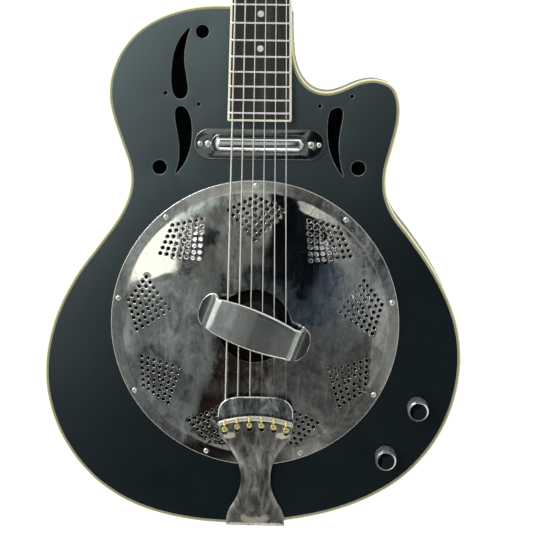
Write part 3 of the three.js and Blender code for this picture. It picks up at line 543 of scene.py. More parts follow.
def celluloid(name, a, b, top):
    """Aged cream binding: yellowed unevenly and grimy; faces that point up take the top colour, which on the body
    binding is a painted shade.
    """
    s = Mat(name, Specular_IOR_Level=0.5)
    nz = s.xyz(s.node("NewGeometry").outputs["Normal"])[2]
    col = s.mix(s.rng(s.noise(22, 4, 0.6), 0.3, 0.7, 0, 1), a, b)
    grime = s.rng(s.noise(130, 5, 0.7), 0.56, 0.72, 0, 0.55)
    col = s.mix(grime, col, (0.42, 0.38, 0.22))
    # painted shade: faces that point up take the top colour, a darker olive-grey on the body binding
    col = s.mix(s.rng(s.math("ABSOLUTE", nz), 0.90, 0.985, 0, 0.95), col, top)
    return s.out(col, s.rng(s.noise(90, 3), 0.3, 0.7, 0.32, 0.5), (s.noise(420, 3), 0.08, 0.0002))


CREAM = celluloid("aged_cream_binding", (1.0, 0.90, 0.42), (1.0, 0.95, 0.58), (0.30, 0.31, 0.215))
CREAM_B = celluloid("fingerboard_binding", (0.96, 0.92, 0.64), (0.99, 0.97, 0.76), (0.97, 0.95, 0.70))


def make_board():
    s = Mat("dark_fingerboard_wood", Specular_IOR_Level=0.42)
    g = s.map((1.0, 0.03, 1.0))
    a = s.noise(420, 5, 0.65, 0.3, g)
    b = s.noise(95, 4, 0.6, 0.6, g)
    pores = s.rng(s.noise(1500, 2, 0.5, 0.0, s.map((1.0, 0.045, 1.0))), 0.60, 0.68, 0, 1)
    col = s.ramp(s.add(s.times(a, 0.5), s.times(b, 0.5)), [(0.32, (0.010, 0.0088, 0.0085)), (0.5, (0.021, 0.0185, 0.0175)), (0.66, (0.050, 0.044, 0.041))])
    col = s.mix(s.times(pores, 0.75), col, (0.006, 0.005, 0.005))
    return s.out(col, s.rng(a, 0.3, 0.7, 0.42, 0.62), (s.math("SUBTRACT", s.times(a, 0.4), pores), 0.35, 0.0003))


BOARD = make_board()


def metal(name, base, warm, cool, r0, r1, mott=30, tarnish=0.5, bump=0.06, pits=0.0, scr=0.5, metallic=1.0, seed=0.0):
    """Plated metal with tarnish clouds, smears, pits and scuffs."""
    s = Mat(name, Metallic=metallic)
    c0 = s.map((1, 1, 1), (0, 0, 0), (seed, seed * 0.7, 0))
    big = s.noise(mott * 0.45, 4, 0.6, 0.6, c0)
    mid = s.noise(mott * 1.7, 6, 0.68, 1.2, c0)
    fine = s.noise(mott * 9, 5, 0.7, 0.3, c0)
    smear = s.noise(mott * 2.2, 4, 0.6, 0.4, s.map((1.0, 0.22, 1.0), (0, 0, 24), (seed, 0, 0)))
    col = s.mix(s.times(s.rng(big, 0.40, 0.62, 0, 1), tarnish), base, cool)
    col = s.mix(s.times(s.rng(s.add(s.times(mid, 0.6), s.times(smear, 0.4)), 0.46, 0.62, 0, 1), tarnish), col, warm)
    dark = tuple(c * 0.45 for c in warm)
    col = s.mix(s.times(s.rng(fine, 0.58, 0.70, 0, 1), tarnish * 0.7), col, dark)
    rough = s.rng(s.add(s.times(mid, 0.5), s.times(fine, 0.25), s.times(smear, 0.25)), 0.36, 0.64, r0, r1)
    height = s.add(s.times(fine, 0.5), s.times(s.noise(mott * 3, 3, 0.5, 0, c0), 0.5))
    if pits:
        p = s.rng(s.voronoi(mott * 16, c0), 0.06, 0.16, 1, 0)
        gate = s.rng(s.noise(mott * 2.4, 2, 0.5, 0, c0), 0.52, 0.62, 0, 1)
        p = s.times(p, gate)
        col = s.mix(s.times(p, pits), col, dark)
        height = s.math("SUBTRACT", height, s.times(p, 0.8))
    if scr:
        sc = scratches(s, 300, seed * 40)
        col = s.mix(s.times(sc, scr * 0.35), col, tuple(min(1, c * 1.5 + 0.05) for c in base))
        rough = s.add(rough, s.times(sc, 0.10))
    return s.out(col, rough, (height, bump, 0.0004))


def make_cover(name, flange):
    """Old nickel plate: a clear mirror clouded by wiping marks, brown tarnish, bluish film, specks and scuffs; the dome
    has darker patches at fixed places, and the flange is lighter overall, with painted highlights and painted shade.
    """
    s = Mat(name, Metallic=1.0)
    w1 = s.noise(13, 5, 0.62, 1.1, s.map((1.0, 0.62, 1.0), (0, 0, 32)))
    w2 = s.noise(58, 6, 0.74, 1.9, s.map((1.0, 0.36, 1.0), (0, 0, -28)))
    w3 = s.noise(120, 5, 0.72, 1.0)
    fine = s.noise(520, 4, 0.7)
    m = s.add(s.times(w1, 0.40), s.times(w2, 0.36), s.times(w3, 0.24))
    haze = s.rng(m, 0.45, 0.58, 0, 1)
    dark_zone = s.math("MAXIMUM", s.spot(32, 84, 34, 50, 0.45, 0.5), s.spot(-28, -84, 24, 46, 0.35, 0.4))
    clean = s.spot(-96, 64, 25, 37, 0.26, 0.75)
    haze = s.times(haze, s.rng(s.math("MAXIMUM", dark_zone, clean), 0, 1, 1.0, 0.12))
    k = 1.22 if flange else 1.0
    col = s.ramp(m, [(0.41, (0.21 * k, 0.215 * k, 0.205 * k)), (0.475, (0.39 * k, 0.405 * k, 0.395 * k)), (0.525, (0.60 * k, 0.625 * k, 0.61 * k)), (0.585, (0.88, 0.90, 0.87))])
    brown = s.rng(s.add(s.times(w2, 0.5), s.times(w3, 0.5)), 0.50, 0.62, 0, 1)
    zone = s.math("MAXIMUM", s.math("MAXIMUM", s.spot(-48, -92, 40, 34, 0.5, 0.5), s.spot(-30, 76, 46, 44, 0.6, 0.5)), s.math("MAXIMUM", s.spot(100, -40, 30, 30, 0.6, 0.6), s.spot(-112, 10, 26, 46, 0.5, 0.6)))
    col = s.mix(s.times(brown, s.rng(zone, 0, 1, 0.12, 0.60)), col, (0.30, 0.26, 0.205))
    blue = s.times(s.spot(52, 18, 46, 44, 0.6, 0.7), s.rng(w1, 0.40, 0.62, 0.2, 1))
    col = s.mix(s.times(blue, 0.55), col, (0.38, 0.50, 0.62))
    col = s.mix(s.times(clean, 0.85), col, (0.86, 0.87, 0.84))
    if not flange:
        # darker patches at four fixed places on the dome, brownish in front of the tailpiece
        for x, y, rx, ry, k, c in ((-20, -60, 25, 15, 0.66, (0.085, 0.068, 0.055)), (-50, 52, 18, 26, 0.42, (0.16, 0.15, 0.12)), (6, 74, 20, 24, 0.42, (0.15, 0.15, 0.13)), (-95, -40, 38, 15, 0.32, (0.20, 0.20, 0.18))):
            col = s.mix(s.times(s.spot(x, y, rx, ry, 0.6, 0.9), k), col, c)
    speck = s.times(s.rng(s.voronoi(330), 0.07, 0.16, 1, 0), s.rng(s.noise(38, 3, 0.6), 0.50, 0.60, 0, 1))
    dark = s.times(s.rng(s.voronoi(210, s.map((1, 1, 1), (0, 0, 0), (0.4, 0.2, 0))), 0.06, 0.15, 1, 0), s.rng(s.noise(24, 3, 0.6, 0, s.map((1, 1, 1), (0, 0, 0), (0.7, 0.1, 0))), 0.54, 0.62, 0, 1))
    col = s.mix(s.times(dark, 0.8), col, (0.09, 0.08, 0.07))
    col = s.mix(s.times(s.rng(fine, 0.56, 0.70, 0, 1), 0.35), col, (0.22, 0.215, 0.20))
    sc = scratches(s, 300)
    col = s.mix(s.times(sc, s.rng(clean, 0, 1, 0.28, 0.0)), col, (0.86, 0.88, 0.86))
    lo, hi = (0.13, 0.32) if flange else (0.03, 0.25)
    if flange:
        mott = s.rng(s.noise(210, 5, 0.72, 0.8), 0.44, 0.62, 0, 1)
        col = s.mix(s.times(mott, 0.34), col, (0.28, 0.265, 0.225))
        # painted highlights: light, less metallic patches on the flange at its top, right and lower right
        lit = s.math("MAXIMUM", s.spot(-26, 122, 52, 26, 0.5, 0.5), s.math("MAXIMUM", s.spot(126, -22, 18, 62, 0.5, 0.5), s.spot(48, -122, 20, 12, 0.5, 0.5)))
        col = s.mix(s.times(lit, 0.45), col, (0.95, 0.96, 0.90))
        # painted shade: a darker patch on the flange's left and a near-black one at its lower left
        col = s.mix(s.times(s.spot(-127, -12, 14, 46, 0.5, 0.8), 0.5), col, (0.20, 0.20, 0.185))
        col = s.mix(s.times(s.spot(-44, -121, 34, 10, 0.4, 0.6), 0.85), col, (0.035, 0.036, 0.038))
        s.put(s.b.inputs["Metallic"], s.rng(lit, 0, 1, 1.0, 0.80))
    rough = s.add(s.rng(haze, 0, 1, lo, hi), s.times(speck, 0.22), s.times(sc, 0.05), s.times(s.rng(fine, 0.45, 0.7, 0, 1), 0.03))
    height = s.add(s.times(w3, 0.5), s.times(fine, 0.14), s.times(dark, -0.5), s.times(w1, 1.4))
    if not flange:
        rough = s.add(rough, s.times(s.spot(0, -60, 38, 10, 0.5, 0.5), 0.20))
    return s.out(col, rough, (height, 0.07 if flange else 0.022, 0.0005))


NICKEL = make_cover("tarnished_nickel_cover", False)
FLANGE = make_cover("tarnished_nickel_flange", True)
HOLE = metal("punched_edge", (0.86, 0.87, 0.84), (0.5, 0.46, 0.38), (0.62, 0.65, 0.65), 0.12, 0.28, 90, 0.4, 0.05, 0, 0)
RESTM = metal("brushed_nickel_handrest", (0.84, 0.86, 0.83), (0.56, 0.53, 0.45), (0.50, 0.56, 0.565), 0.10, 0.28, 42, 0.75, 0.05, 0.6, 0.9, seed=1.7)
CHROME = metal("chrome", (0.84, 0.86, 0.88), (0.66, 0.66, 0.64), (0.74, 0.78, 0.82), 0.02, 0.07, 40, 0.3, 0.006, 0.3, 0.5, seed=2.1)
KNOBM = metal("chrome_knob", (0.62, 0.63, 0.64), (0.26, 0.245, 0.22), (0.46, 0.48, 0.50), 0.08, 0.18, 240, 0.7, 0.03, 0.2, 0.4, metallic=0.72, seed=3.3)
# the knob tops are chrome painted near-black: a painted dark reflection
KNOBTOP = metal("chrome_knob_top", (0.050, 0.060, 0.075), (0.095, 0.065, 0.050), (0.10, 0.12, 0.17), 0.02, 0.08, 90, 0.4, 0.006, 0.3, 0.4, seed=4.1)
PICKB = metal("shaded_chrome_base", (0.30, 0.33, 0.335), (0.22, 0.22, 0.21), (0.36, 0.40, 0.42), 0.05, 0.12, 60, 0.4, 0.01, 0.3, 0.5, seed=2.4)
TUBEM = metal("chrome_tube", (0.84, 0.86, 0.88), (0.66, 0.66, 0.64), (0.74, 0.78, 0.82), 0.07, 0.13, 40, 0.3, 0.006, 0.3, 0.5, seed=2.6)
# the handrest's feet take a dark copy of its nickel: a painted dark reflection
FOOTM = metal("handrest_foot", (0.20, 0.21, 0.205), (0.14, 0.135, 0.12), (0.28, 0.31, 0.31), 0.08, 0.20, 60, 0.6, 0.03, 0.4, 0.6, seed=1.2)
# painted highlight: a pale, half-metallic finish for edges that catch the light, on the coverplate rim, the handrest
# and the tailpiece hood
PAINTED_HIGHLIGHT = metal("painted_edge_highlight", (0.93, 0.92, 0.86), (0.72, 0.68, 0.58), (0.86, 0.88, 0.87), 0.16, 0.28, 150, 0.35, 0.03, 0, 0.3, metallic=0.55, seed=0.3)
STEEL = metal("nickel_plated_steel", (0.90, 0.88, 0.81), (0.62, 0.56, 0.45), (0.60, 0.62, 0.62), 0.16, 0.34, 90, 0.4, 0.05, 0.3, 0.4, seed=0.9)
FRETM = metal("fret_nickel_silver", (0.97, 0.96, 0.90), (0.80, 0.77, 0.66), (0.88, 0.90, 0.88), 0.18, 0.32, 120, 0.3, 0.02, 0, 0.3, metallic=0.35, seed=1.1)
BRASS = metal("brass_ball_end", (1.0, 0.86, 0.34), (0.80, 0.58, 0.17), (0.98, 0.86, 0.50), 0.14, 0.28, 160, 0.45, 0.04, 0, 0.2, metallic=0.55, seed=1.4)
TUNERM = metal("nickel_tuner", (0.72, 0.71, 0.68), (0.52, 0.47, 0.38), (0.58, 0.61, 0.62), 0.14, 0.30, 70, 0.45, 0.04, 0.4, 0.5, seed=2.7)
BRIGHT = metal("worn_bright_ridge", (0.74, 0.69, 0.60), (0.50, 0.43, 0.33), (0.64, 0.62, 0.58), 0.30, 0.46, 150, 0.7, 0.06, 0, 0.5, metallic=0.5, seed=0.5)


def make_cone():
    s = Mat("spun_aluminium", Metallic=1.0, Anisotropic=0.4, Specular_IOR_Level=0.08)
    v = s.map((1, 1, 1), (0, 0, 0), (-PLATE_X * MM, 0, 0))
    rings = s.wave(160, "Z", "RINGS", 0.0, v)
    n = s.noise(60, 4)
    col = s.mix(s.rng(n, 0.35, 0.65, 0, 1), (0.36, 0.37, 0.38), (0.26, 0.265, 0.27))
    o = s.xyz(v)
    r = s.math("SQRT", s.add(s.times(o[0], o[0]), s.times(o[1], o[1])))
    # painted shade: the cone's centre, seen through the centre hole, is near-black, matte and not metallic
    core = s.rng(r, 0.052, 0.058, 1, 0)
    col = s.mix(core, col, (0.006, 0.006, 0.006))
    s.put(s.b.inputs["Metallic"], s.rng(core, 0, 1, 1, 0))
    rough = s.add(s.rng(s.add(s.times(rings, 0.4), s.times(n, 0.6)), 0.3, 0.7, 0.12, 0.26), s.times(core, 0.5))
    return s.out(col, rough, (rings, 0.12, 0.0002))


CONEM = make_cone()


def make_tail():
    """Tailpiece plating: warm brown-grey with long smears, painted shade streaking down its flanks and lower middle,
    and pale patches on its raised shoulders and at its foot, partly rubbed wear and partly painted highlight.
    """
    s = Mat("tarnished_tailpiece", Metallic=1.0)
    st = s.map((1.0, 0.35, 1.0))
    a = s.noise(95, 6, 0.72, 1.6, st)
    b = s.noise(26, 4, 0.6, 0.8)
    f = s.noise(420, 5, 0.7)
    hood = s.rng(s.xyz()[1], -0.094, -0.088, 0, 1)
    col = s.ramp(s.add(s.times(a, 0.65), s.times(b, 0.35)), [(0.38, (0.17, 0.16, 0.14)), (0.46, (0.34, 0.33, 0.30)), (0.54, (0.50, 0.495, 0.46)), (0.63, (0.70, 0.695, 0.65))])
    slate = s.ramp(s.noise(170, 6, 0.74, 0.9, s.map((1.0, 0.30, 1.0), (0, 0, -4))), [(0.40, (0.09, 0.105, 0.115)), (0.50, (0.245, 0.275, 0.285)), (0.61, (0.74, 0.77, 0.745))])
    col = s.mix(hood, col, slate)
    o = s.xyz()
    from_ridge = s.add(o[1], s.times(s.times(o[0], o[0]), 5.19))
    band = s.times(s.rng(from_ridge, -0.0817, -0.0808, 0, 1), s.rng(from_ridge, -0.0794, -0.0780, 1, 0))
    col = s.mix(s.times(band, 0.78), col, (0.045, 0.047, 0.048))
    col = s.mix(s.times(s.rng(f, 0.56, 0.70, 0, 1), 0.5), col, (0.16, 0.13, 0.10))
    # painted shade: dark streaks down both flanks and along the lower middle
    painted_flank_shade = s.math("MAXIMUM", s.math("MAXIMUM", s.spot(-12.4, -142, 2.3, 12, 0.4, 0.3), s.times(s.spot(10.4, -134, 2.0, 17, 0.5, 0.4), 0.75)), s.times(s.spot(0, -168, 3.0, 10, 0.5, 0.8), 0.6))
    col = s.mix(s.times(painted_flank_shade, 0.90), col, (0.055, 0.048, 0.040))
    # pale, less metallic patches on the raised shoulders and a crescent at the foot: partly rubbed wear, partly painted
    # highlight
    pale = s.math("MAXIMUM", s.math("MAXIMUM", s.spot(-24.2, -101.3, 5.6, 3.0, 0.2, 0.5), s.spot(24.6, -100.8, 6.2, 3.1, 0.2, 0.5)),
                  s.math("SUBTRACT", s.spot(-1.0, -181.4, 12.8, 6.0, 0.12, 0.4), s.spot(-1.0, -175.4, 10.8, 6.0, 0.12, 0.4), True))
    sc = scratches(s, 420)
    col = s.mix(s.times(sc, 0.4), col, (0.62, 0.60, 0.55))
    low = s.rng(s.xyz()[1], -0.17, -0.12, 0, 1)
    col = s.mix(s.times(pale, 0.9), col, s.mix(s.rng(f, 0.4, 0.6, 0, 1), s.mix(low, (0.40, 0.36, 0.30), (0.72, 0.65, 0.55)), s.mix(low, (0.50, 0.46, 0.39), (0.90, 0.83, 0.72))))
    s.put(s.b.inputs["Metallic"], s.rng(pale, 0, 1, 1, 0.45))
    rough = s.add(s.rng(s.add(s.times(a, 0.6), s.times(f, 0.4)), 0.36, 0.64, 0.22, 0.46), s.times(pale, 0.12))
    return s.out(col, rough, (s.add(s.times(f, 0.5), s.times(a, 0.7)), 0.14, 0.0004))


TAILM = make_tail()


def string_mat(name, base, dark, pitch):
    s = Mat(name, Metallic=0.35)
    n = s.noise(120, 4, 0.6, 0, s.map((1, 0.15, 1)))
    col = s.mix(s.rng(n, 0.4, 0.7, 0, 1), base, dark)
    if pitch:
        w = s.wave(2 * math.pi / (20 * pitch * MM), "Y")
        col = s.mix(s.rng(w, 0, 0.5, 0.6, 0), col, tuple(c * 0.4 for c in dark))
        return s.out(col, s.rng(n, 0.3, 0.7, 0.26, 0.4), (w, 0.5, pitch * MM * 0.4))
    # painted shade: plain strings turn near-black from 24 to 34 mm behind the saddle onwards, towards the tailpiece
    col = s.mix(s.rng(s.xyz()[1], -0.034, -0.024, 0.86, 0), col, (0.05, 0.05, 0.05))
    return s.out(col, s.rng(n, 0.3, 0.7, 0.16, 0.3), (n, 0.05, 0.0001))


WOUND = [string_mat(f"wound_string_{6 - i}", (0.97, 0.93, 0.84), (0.78, 0.71, 0.58), p) for i, p in enumerate((0.46, 0.36, 0.28))]
PLAIN = string_mat("plain_steel_string", (0.97, 0.96, 0.93), (0.80, 0.78, 0.72), 0)


def wood(name, a, b, c, rough=0.6, along="Y", scale=60):
    s = Mat(name, Specular_IOR_Level=0.35)
    sc = {"X": (0.06, 1, 1), "Y": (1, 0.06, 1), "Z": (1, 1, 0.06)}[along]
    g = s.noise(scale * 3, 5, 0.65, 0.5, s.map(sc))
    col = s.ramp(g, [(0.35, a), (0.5, b), (0.68, c)])
    fib = s.noise(scale * 26, 2, 0.5, 0, s.map(sc))
    col = s.mix(s.times(s.rng(fib, 0.55, 0.7, 0, 1), 0.35), col, tuple(v * 0.6 for v in a))
    return s.out(col, s.rng(g, 0.3, 0.7, rough - 0.08, rough + 0.08), (s.add(g, s.times(fib, 0.4)), 0.2, 0.0003))


INNER = wood("inner_softwood", (0.42, 0.29, 0.16), (0.55, 0.40, 0.23), (0.64, 0.49, 0.30), 0.7)
# near-black wood for the biscuit and the saddle, down in the centre hole
NEAR_BLACK_WOOD = wood("near_black_maple", (0.0030, 0.0030, 0.0030), (0.0048, 0.0046, 0.0044), (0.0070, 0.0066, 0.0062), 0.8, "X", 90)
MAPLE = wood("maple", (0.46, 0.30, 0.15), (0.58, 0.41, 0.23), (0.66, 0.49, 0.30), 0.45, "X", 90)


def simple(name, a, b, r0, r1, scale=90, bump=0.05, **kw):
    s = Mat(name, **kw)
    n, f = s.noise(scale, 4, 0.6), s.noise(scale * 9, 3, 0.6)
    col = s.mix(s.rng(n, 0.35, 0.65, 0, 1), a, b)
    col = s.mix(s.times(s.rng(f, 0.62, 0.75, 0, 1), 0.3), col, tuple(v * 0.6 for v in a))
    return s.out(col, s.rng(n, 0.3, 0.7, r0, r1), (f, bump, 0.0002))


BONE = simple("polished_bone", (0.80, 0.74, 0.60), (0.88, 0.84, 0.73), 0.25, 0.4, 120)
PLASTIC = simple("black_plastic", (0.012, 0.012, 0.013), (0.020, 0.020, 0.021), 0.28, 0.45, 120)
LEAD = simple("black_lead_sheath", (0.018, 0.018, 0.018), (0.032, 0.032, 0.032), 0.45, 0.6, 200)


def make_pearl(name, a, b, c, scale):
    s = Mat(name, Specular_IOR_Level=0.6, Coat_Weight=0.5, Coat_Roughness=0.12)
    n = s.noise(scale, 3, 0.55, 2.2)
    col = s.ramp(n, [(0.34, a), (0.5, b), (0.66, c)])
    return s.out(col, s.rng(n, 0.3, 0.7, 0.2, 0.36), (n, 0.06, 0.0002))


PEARL = make_pearl("pearl_dot", (0.62, 0.66, 0.62), (0.78, 0.79, 0.74), (0.86, 0.86, 0.82), 420)
BUTTON = make_pearl("cream_button", (0.74, 0.66, 0.47), (0.84, 0.78, 0.60), (0.90, 0.86, 0.72), 190)

# ------------------------------------------------------------------ body shell
OUT = spline(OUTLINE, False, 10)
ring = lambda d, z: [(x, y, z) for x, y in inset(OUT, d)]


def bind_section(z_face, z_in, sign):
    """Rings of one binding strip: flush with the face, rounded over its outer corner."""
    rr, rows = 1.9, [(0.0, z_in)]
    for k in range(7):
        a = math.pi / 2 * k / 6
        rows.append((rr * (1 - math.cos(a)), z_face - sign * rr * (1 - math.sin(a))))
    rows += [(BIND_W - 0.05, z_face), (BIND_W, z_face - sign * 0.05), (BIND_W, z_in)]
    return hoop([ring(d, z) for d, z in rows])


make("front_binding_strip", bind_section(TOP, TOP - BIND_H, 1), CREAM, replaces=("front_binding",))
make("back_binding_strip", bind_section(0.0, BIND_H, -1), CREAM, replaces=("back_binding",))
rim = hoop([ring(0.05, BIND_H), ring(0.05, TOP - BIND_H), ring(2.3, TOP - BIND_H), ring(2.3, TOP - TOP_T - 0.3), ring(7, TOP - TOP_T - 0.3),
            ring(7, TOP - TOP_T - 8), ring(2.8, TOP - TOP_T - 13), ring(2.8, BACK_T + 13), ring(7, BACK_T + 8), ring(7, BACK_T + 0.3), ring(2.3, BACK_T + 0.3), ring(2.3, BIND_H)])
rot_x = lambda g: moved(g, lambda v: (v[2], v[1], -v[0]))      # +Z axis to +X
rot_y = lambda g: moved(g, lambda v: (v[0], v[2], -v[1]))      # +Z axis to +Y
cutter = lambda r, l, n=32: lathe([(0, -l), (r, -l), (r, l), (0, l)], n)
make("side_wall", rim, SIDE, replaces=("rim",), cuts=(at(rot_x(cutter(5.3, 20)), 185.6, -38, 37), at(rot_y(cutter(2.3, 9)), 0, -186.4, 37)))

crescents = [ccw(spline(c, True, 5)) for c in CRESCENTS]
top = plate(inset(OUT, BIND_W + 0.02), crescents + [circle(*h, 40) for h in ROUND_HOLES] + [circle(*h, 20) for h in SMALL_HOLES]
            + [circle(PLATE_X, 0, WELL_R, 120), stadium(0, PICK_Y, 108, 17)] + [circle(*KNOBS[k], 5.4, 28) for k in KNOBS],
            lambda x, y: TOP, lambda x, y: TOP - TOP_T, 0.06, 0.55)
make("lacquered_top", top, [BLACK, EDGE], replaces=("soundboard",))
make("lacquered_back", plate(inset(OUT, BIND_W + 0.02), [], lambda x, y: BACK_T, lambda x, y: 0.0, 0.06), BLACK, replaces=("back_plate",))
# strip where the side meets the heel in the cutaway
make("heel_joint_strip", tinted(loft([[(27.62, y, z), (27.62, y, z2), (25.8, y, z2), (25.8, y, z)] for y, z, z2 in ((283.6, 6.2, 68.8), (287.9, 6.2, 68.8))]), 0), CREAM)

# ------------------------------------------------------------------ coverplate with its nine groups of punched holes
COVER = [(33.0, 11.0), (45, 10.92), (55, 10.66), (67, 10.05), (80, 9.1), (90, 8.1), (97, 7.15), (105, 5.75), (111, 4.5), (116, 3.25), (119.4, 2.25), (120.8, 1.78), (122.2, 1.52), (124, 1.5), (132.5, 1.5)]
cover_z = lambda x, y: TOP + interp(COVER, math.hypot(x - PLATE_X, y))
SCREW_A = [90, 130, 170, 210, 250, 290, 330, 10, 50]
screw_at = lambda a: (PLATE_X + 127 * math.cos(math.radians(a)), 127 * math.sin(math.radians(a)))


def kite(angle):
    """43 hole centres in nested kite-shaped rings, pointing outwards."""
    A, B, C, D = (117.4, 0.0), (104.8, 24.6), (79.0, 0.0), (104.8, -24.6)
    cx, cy = 101.0, 0.0
    pts = []
    for scale, no, ni in ((1.0, 5, 6), (0.655, 3, 4), (0.30, 1, 2)):
        q = [(cx + (p[0] - cx) * scale, cy + (p[1] - cy) * scale) for p in (A, B, C, D)]
        for (p0, p1), n in zip(zip(q, q[1:] + q[:1]), (no, ni, ni, no)):
            pts += [(p0[0] + (p1[0] - p0[0]) * k / n, p0[1] + (p1[1] - p0[1]) * k / n) for k in range(n)]
    pts.append((cx - 1.0, cy))
    c, s = math.cos(math.radians(angle)), math.sin(math.radians(angle))
    return [(PLATE_X + u * c - v * s, u * s + v * c) for u, v in pts]


hole_pts = [p for a in SCREW_A for p in kite(a)]
screw_pts = [screw_at(a) for a in SCREW_A]
grid = []
radii = [35.2, 37.5] + [40 + 3.0 * k for k in range(26)] + [117.6, 119.0, 119.8, 120.5, 121.2, 122.0, 123.2, 125.5, 128.0, 130.2]
block = [(x, y, 1.85 + 0.9) for x, y in hole_pts] + [(x, y, 2.7) for x, y in screw_pts]
for k, r in enumerate(radii):
    n = 280 if 117 < r < 124 else max(60, int(2 * math.pi * r / 3.0))
    for i in range(n):
        a = 2 * math.pi * (i + 0.5 * (k % 2)) / n
        x, y = PLATE_X + r * math.cos(a), r * math.sin(a)
        if all((x - bx) ** 2 + (y - by) ** 2 > br * br for bx, by, br in block):
            grid.append((x, y))
cover = plate(circle(PLATE_X, 0, PLATE_R, 240), [circle(PLATE_X, 0, PLATE_HOLE_R, 120)] + [circle(x, y, 1.82, 16) for x, y in hole_pts] + [circle(x, y, 1.9, 16) for x, y in screw_pts],
              cover_z, lambda x, y: cover_z(x, y) - 1.15, 0.55, 0.22, grid, 4, 2)
# the flange carries a duller finish than the dome, with painted highlights and painted shade; the outermost 0.6 mm of
# the rim takes the painted edge highlight
fm = list(cover[2])
for i, f in enumerate(cover[1]):
    if fm[i] == 0:
        cx_, cy_ = sum(cover[0][v][0] for v in f) / len(f), sum(cover[0][v][1] for v in f) / len(f)
        rr_c = math.hypot(cx_ - PLATE_X, cy_)
        if rr_c > 120.6:
            fm[i] = 3 if rr_c > PLATE_R - 0.6 else 1
make("pierced_coverplate", (cover[0], cover[1], fm), [NICKEL, FLANGE, HOLE, PAINTED_HIGHLIGHT], replaces=("cover_plate",), angle=28)


def screw_head(R, h, slot=0.34, arm=0.62, depth=0.5, n=48):
    """A domed head with a cross recess, its underside at z = 0."""
    verts, faces = [], []
    rs = [0, 0.16, 0.3, 0.44, 0.56, 0.66, 0.78, 0.88, 0.96, 1.0]
    rows = []
    for k, q in enumerate(rs):
        m = 1 if q == 0 else n
        row = []
        for i in range(m):
            a = 2 * math.pi * i / n
            x, y = R * q * math.cos(a), R * q * math.sin(a)
            z = h * math.sqrt(max(0.0, 1 - (q * 0.97) ** 2 * 0.93))
            d = min(max(abs(x) - slot, abs(y) - R * arm), max(abs(y) - slot, abs(x) - R * arm))
            z -= depth * max(0.0, min(1.0, 0.5 - d / 0.22))
            row.append(len(verts))
            verts.append((x, y, z))
        rows.append(row * n if m == 1 else row)
    row = list(range(len(verts), len(verts) + n))
    verts += [(R * math.cos(2 * math.pi * i / n), R * math.sin(2 * math.pi * i / n), 0.0) for i in range(n)]
    rows.append(row)
    for a, b in zip(rows, rows[1:]):
        for i in range(n):
            k = (i + 1) % n
            f = [a[i], a[k], b[k], b[i]]
            f = [v for q, v in enumerate(f) if v != f[q - 1]]
            faces.append(tuple(f))
    faces.append(tuple(reversed(row)))
    return verts, faces


def turned_about(geo, deg):
    c, s = math.cos(math.radians(deg)), math.sin(math.radians(deg))
    return moved(geo, lambda v: (v[0] * c - v[1] * s, v[0] * s + v[1] * c, v[2]))


for i, (x, y) in enumerate(screw_pts):
    g = joined(at(turned_about(screw_head(2.45, 1.65), 20 + 37 * i), x, y, TOP + 1.55), at(lathe([(0, 0), (1.45, 0), (1.45, 1.4), (0, 1.4)], 16), x, y, TOP + 0.3))
    make(f"coverplate_screw_{i + 1}", g, STEEL, replaces=(f"cover_screw_{i + 1}",))

# ------------------------------------------------------------------ cone, biscuit and saddle
prof = [(0, 76.4), (23.2, 76.4), (24.2, 76.1)]
for k in range(1, 96):
    r = 24.2 + (112.0 - 24.2) * k / 95
    prof.append((r, 76.0 + (51.3 - 76.0) * (r - 24.2) / (112.0 - 24.2) + 0.22 * math.sin((r - 24.2) * 2 * math.pi / 3.7)))
prof += [(113.5, 50.9), (119.5, 50.5), (119.5, 49.4), (112.1, 50.2)]
prof += [(24.0, 75.0), (0, 75.0)]
make("spun_cone", at(lathe(prof, 180), PLATE_X), CONEM, replaces=("cone",), angle=50)
bis = lathe([(0, 0)] + fillet([(0, 0), (22, 0), (22, 9.5), (0, 9.5)], 0.9, 4)[1:-1] + [(0, 9.5)], 64)
make("biscuit_disc", at(bis, -1.5, 0, 76.7), NEAR_BLACK_WOOD, replaces=("biscuit",))
sad_top = lambda x: SADDLE_Z - 1.0 - 0.0006 * x * x
sx = lambda i, spread: -spread / 2 + spread * i / 5
pts = [(-15, 83.2), (15, 83.2), (20, 86.8), (30.5, 88.8)]
tops = [30.5 - 61 * k / 60 for k in range(61)]
pts += [(x, sad_top(x) - 0.35 * max(0, 1 - min(abs(x - sx(i, 53)) for i in range(6)) / 0.9)) for x in tops]
pts += [(-30.5, 88.8), (-20, 86.8)]
sad = plate(pts, [], lambda x, y: 1.4, lambda x, y: -1.4, 0.35)
make("saddle_blade", moved(sad, lambda v: (v[0], -v[2], v[1])), NEAR_BLACK_WOOD, replaces=("saddle",))

